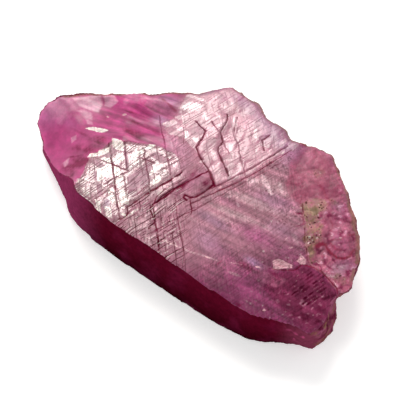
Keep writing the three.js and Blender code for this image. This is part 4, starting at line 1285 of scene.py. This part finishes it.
# The colours of the walls, laid over each other: colour, side, and for those that show in patches how flat
# these lie, their size in mm, the detail of their outlines, where they start and are full, and how strong
wallLayers = [
    ("#6e1a3e", "everywhere", (1, 2, 3, 0.48, 0.7, 0.3)),      # glow from inside
    ("#7b2b4e", "tipward", None),
    ("#6a2c41", "cornerward", None),
    # painted light: the far walls, by the notch too, lighter than the near walls, which keep the darker
    # painted shade
    ("#6d2c3e", "far", None),
    ("#74374a", "notched", None),                              # the far side by the notch
    ("#9c5674", "far", (3, 2.5, 3, 0.48, 0.66, 0.6)),          # level bands, one growth step after another
    ("#4c0c28", "far", (3, 1.43, 3, 0.48, 0.34, 0.6)),
    ("#76593f", "notched", (1, 0.59, 3, 0.5, 0.62, 0.7)),      # iron stains
    ("#4c0c28", "notched", (1, 0.77, 3, 0.5, 0.36, 0.9)),      # and darker patches
    ("#a8446c", "nearCorner", (1, 0.91, 2, 0.6, 0.68, 0.7)),   # painted glints low down near the corner
]


def makeBrokenWall(look):
    material, shader = newMaterial("crimson corundum break", {
        "IOR": look["ior"], "Specular IOR Level": look["specular"], "Roughness": look["roughness"]})
    tree = material.node_tree
    add = partial(addNode, tree)
    place = add("VectorMath", {0: add("TexCoord", out="Object"), "Scale": 1 / mm}, operation="SCALE")
    height = add("SeparateXYZ", {0: place}, "Z")
    low, high = look["shading"]
    colour = add("Mix", {0: add("MapRange", {0: height, 1: low, 2: high}), 6: linearColour(look["foot"]),
                         7: linearColour(look["upper"])}, 2, data_type="RGBA")
    near, tipward, cornerward = [add("Attribute", out="Fac", attribute_name=name) for name in wallMasks]
    far = add("Math", {0: 1, 1: near}, operation="SUBTRACT")
    where = {"everywhere": 1, "tipward": tipward, "cornerward": cornerward, "far": far}
    where["notched"] = add("Math", {0: far, 1: cornerward}, operation="MULTIPLY")
    where["nearCorner"] = add("Math", {0: near, 1: cornerward}, operation="MULTIPLY")
    for hexText, side, patches in wallLayers:
        share = where[side]
        if patches:
            flatness, size, detail, start, full, depth = patches
            vector = add("VectorMath", {0: place, 1: (1, 1, flatness)}, operation="MULTIPLY")
            share = add("TexNoise", {"Vector": vector, "Scale": 1 / size, "Detail": detail})
            share = add("MapRange", {0: share, 1: start, 2: full, 3: 0, 4: depth})
            share = add("Math", {0: share, 1: where[side]}, operation="MULTIPLY")
        colour = add("Mix", {0: share, 6: colour, 7: linearColour(hexText)}, 2, data_type="RGBA")
    grain = add("TexNoise", {"Vector": place, "Scale": 1 / look["grainSize"], "Detail": 4, "Roughness": 0.65})
    darkest, lightest = look["grainShades"]
    shade = add("MapRange", {0: grain, 1: 0.3, 2: 0.7, 3: darkest, 4: lightest})
    colour = add("VectorMath", {0: colour, "Scale": shade}, operation="SCALE")
    bump = add("Bump", {"Height": grain, "Strength": look["bump"], "Distance": look["bumpDistance"] * mm})
    tree.links.new(colour, shader.inputs["Base Color"])
    tree.links.new(bump, shader.inputs["Normal"])
    return material


piece.data.materials.clear()
for name, finish in finishes.items():
    piece.data.materials.append(makeTop(name, finish, growthFace))
piece.data.materials.append(makeBrokenWall(brokenWall))
# each face takes the finish that fits it best, in the order the materials were added
silvery = np.maximum(zone["silver"], zone["pale"]) > 0.5
satin = np.full(len(points), 0.5)
walls = 1.5 * (upward < 0.55)
fits = np.stack([silvery, satin, zone["shoulder"], zone["broken"], 1.2 * zone["corner"], walls], 1)
piece.data.polygons.foreach_set("material_index", faceMeans(piece.data, fits).argmax(1).astype(np.int32))
print("stone: finishes set")

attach(piece, "root")
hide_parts(stoneShape["node"])
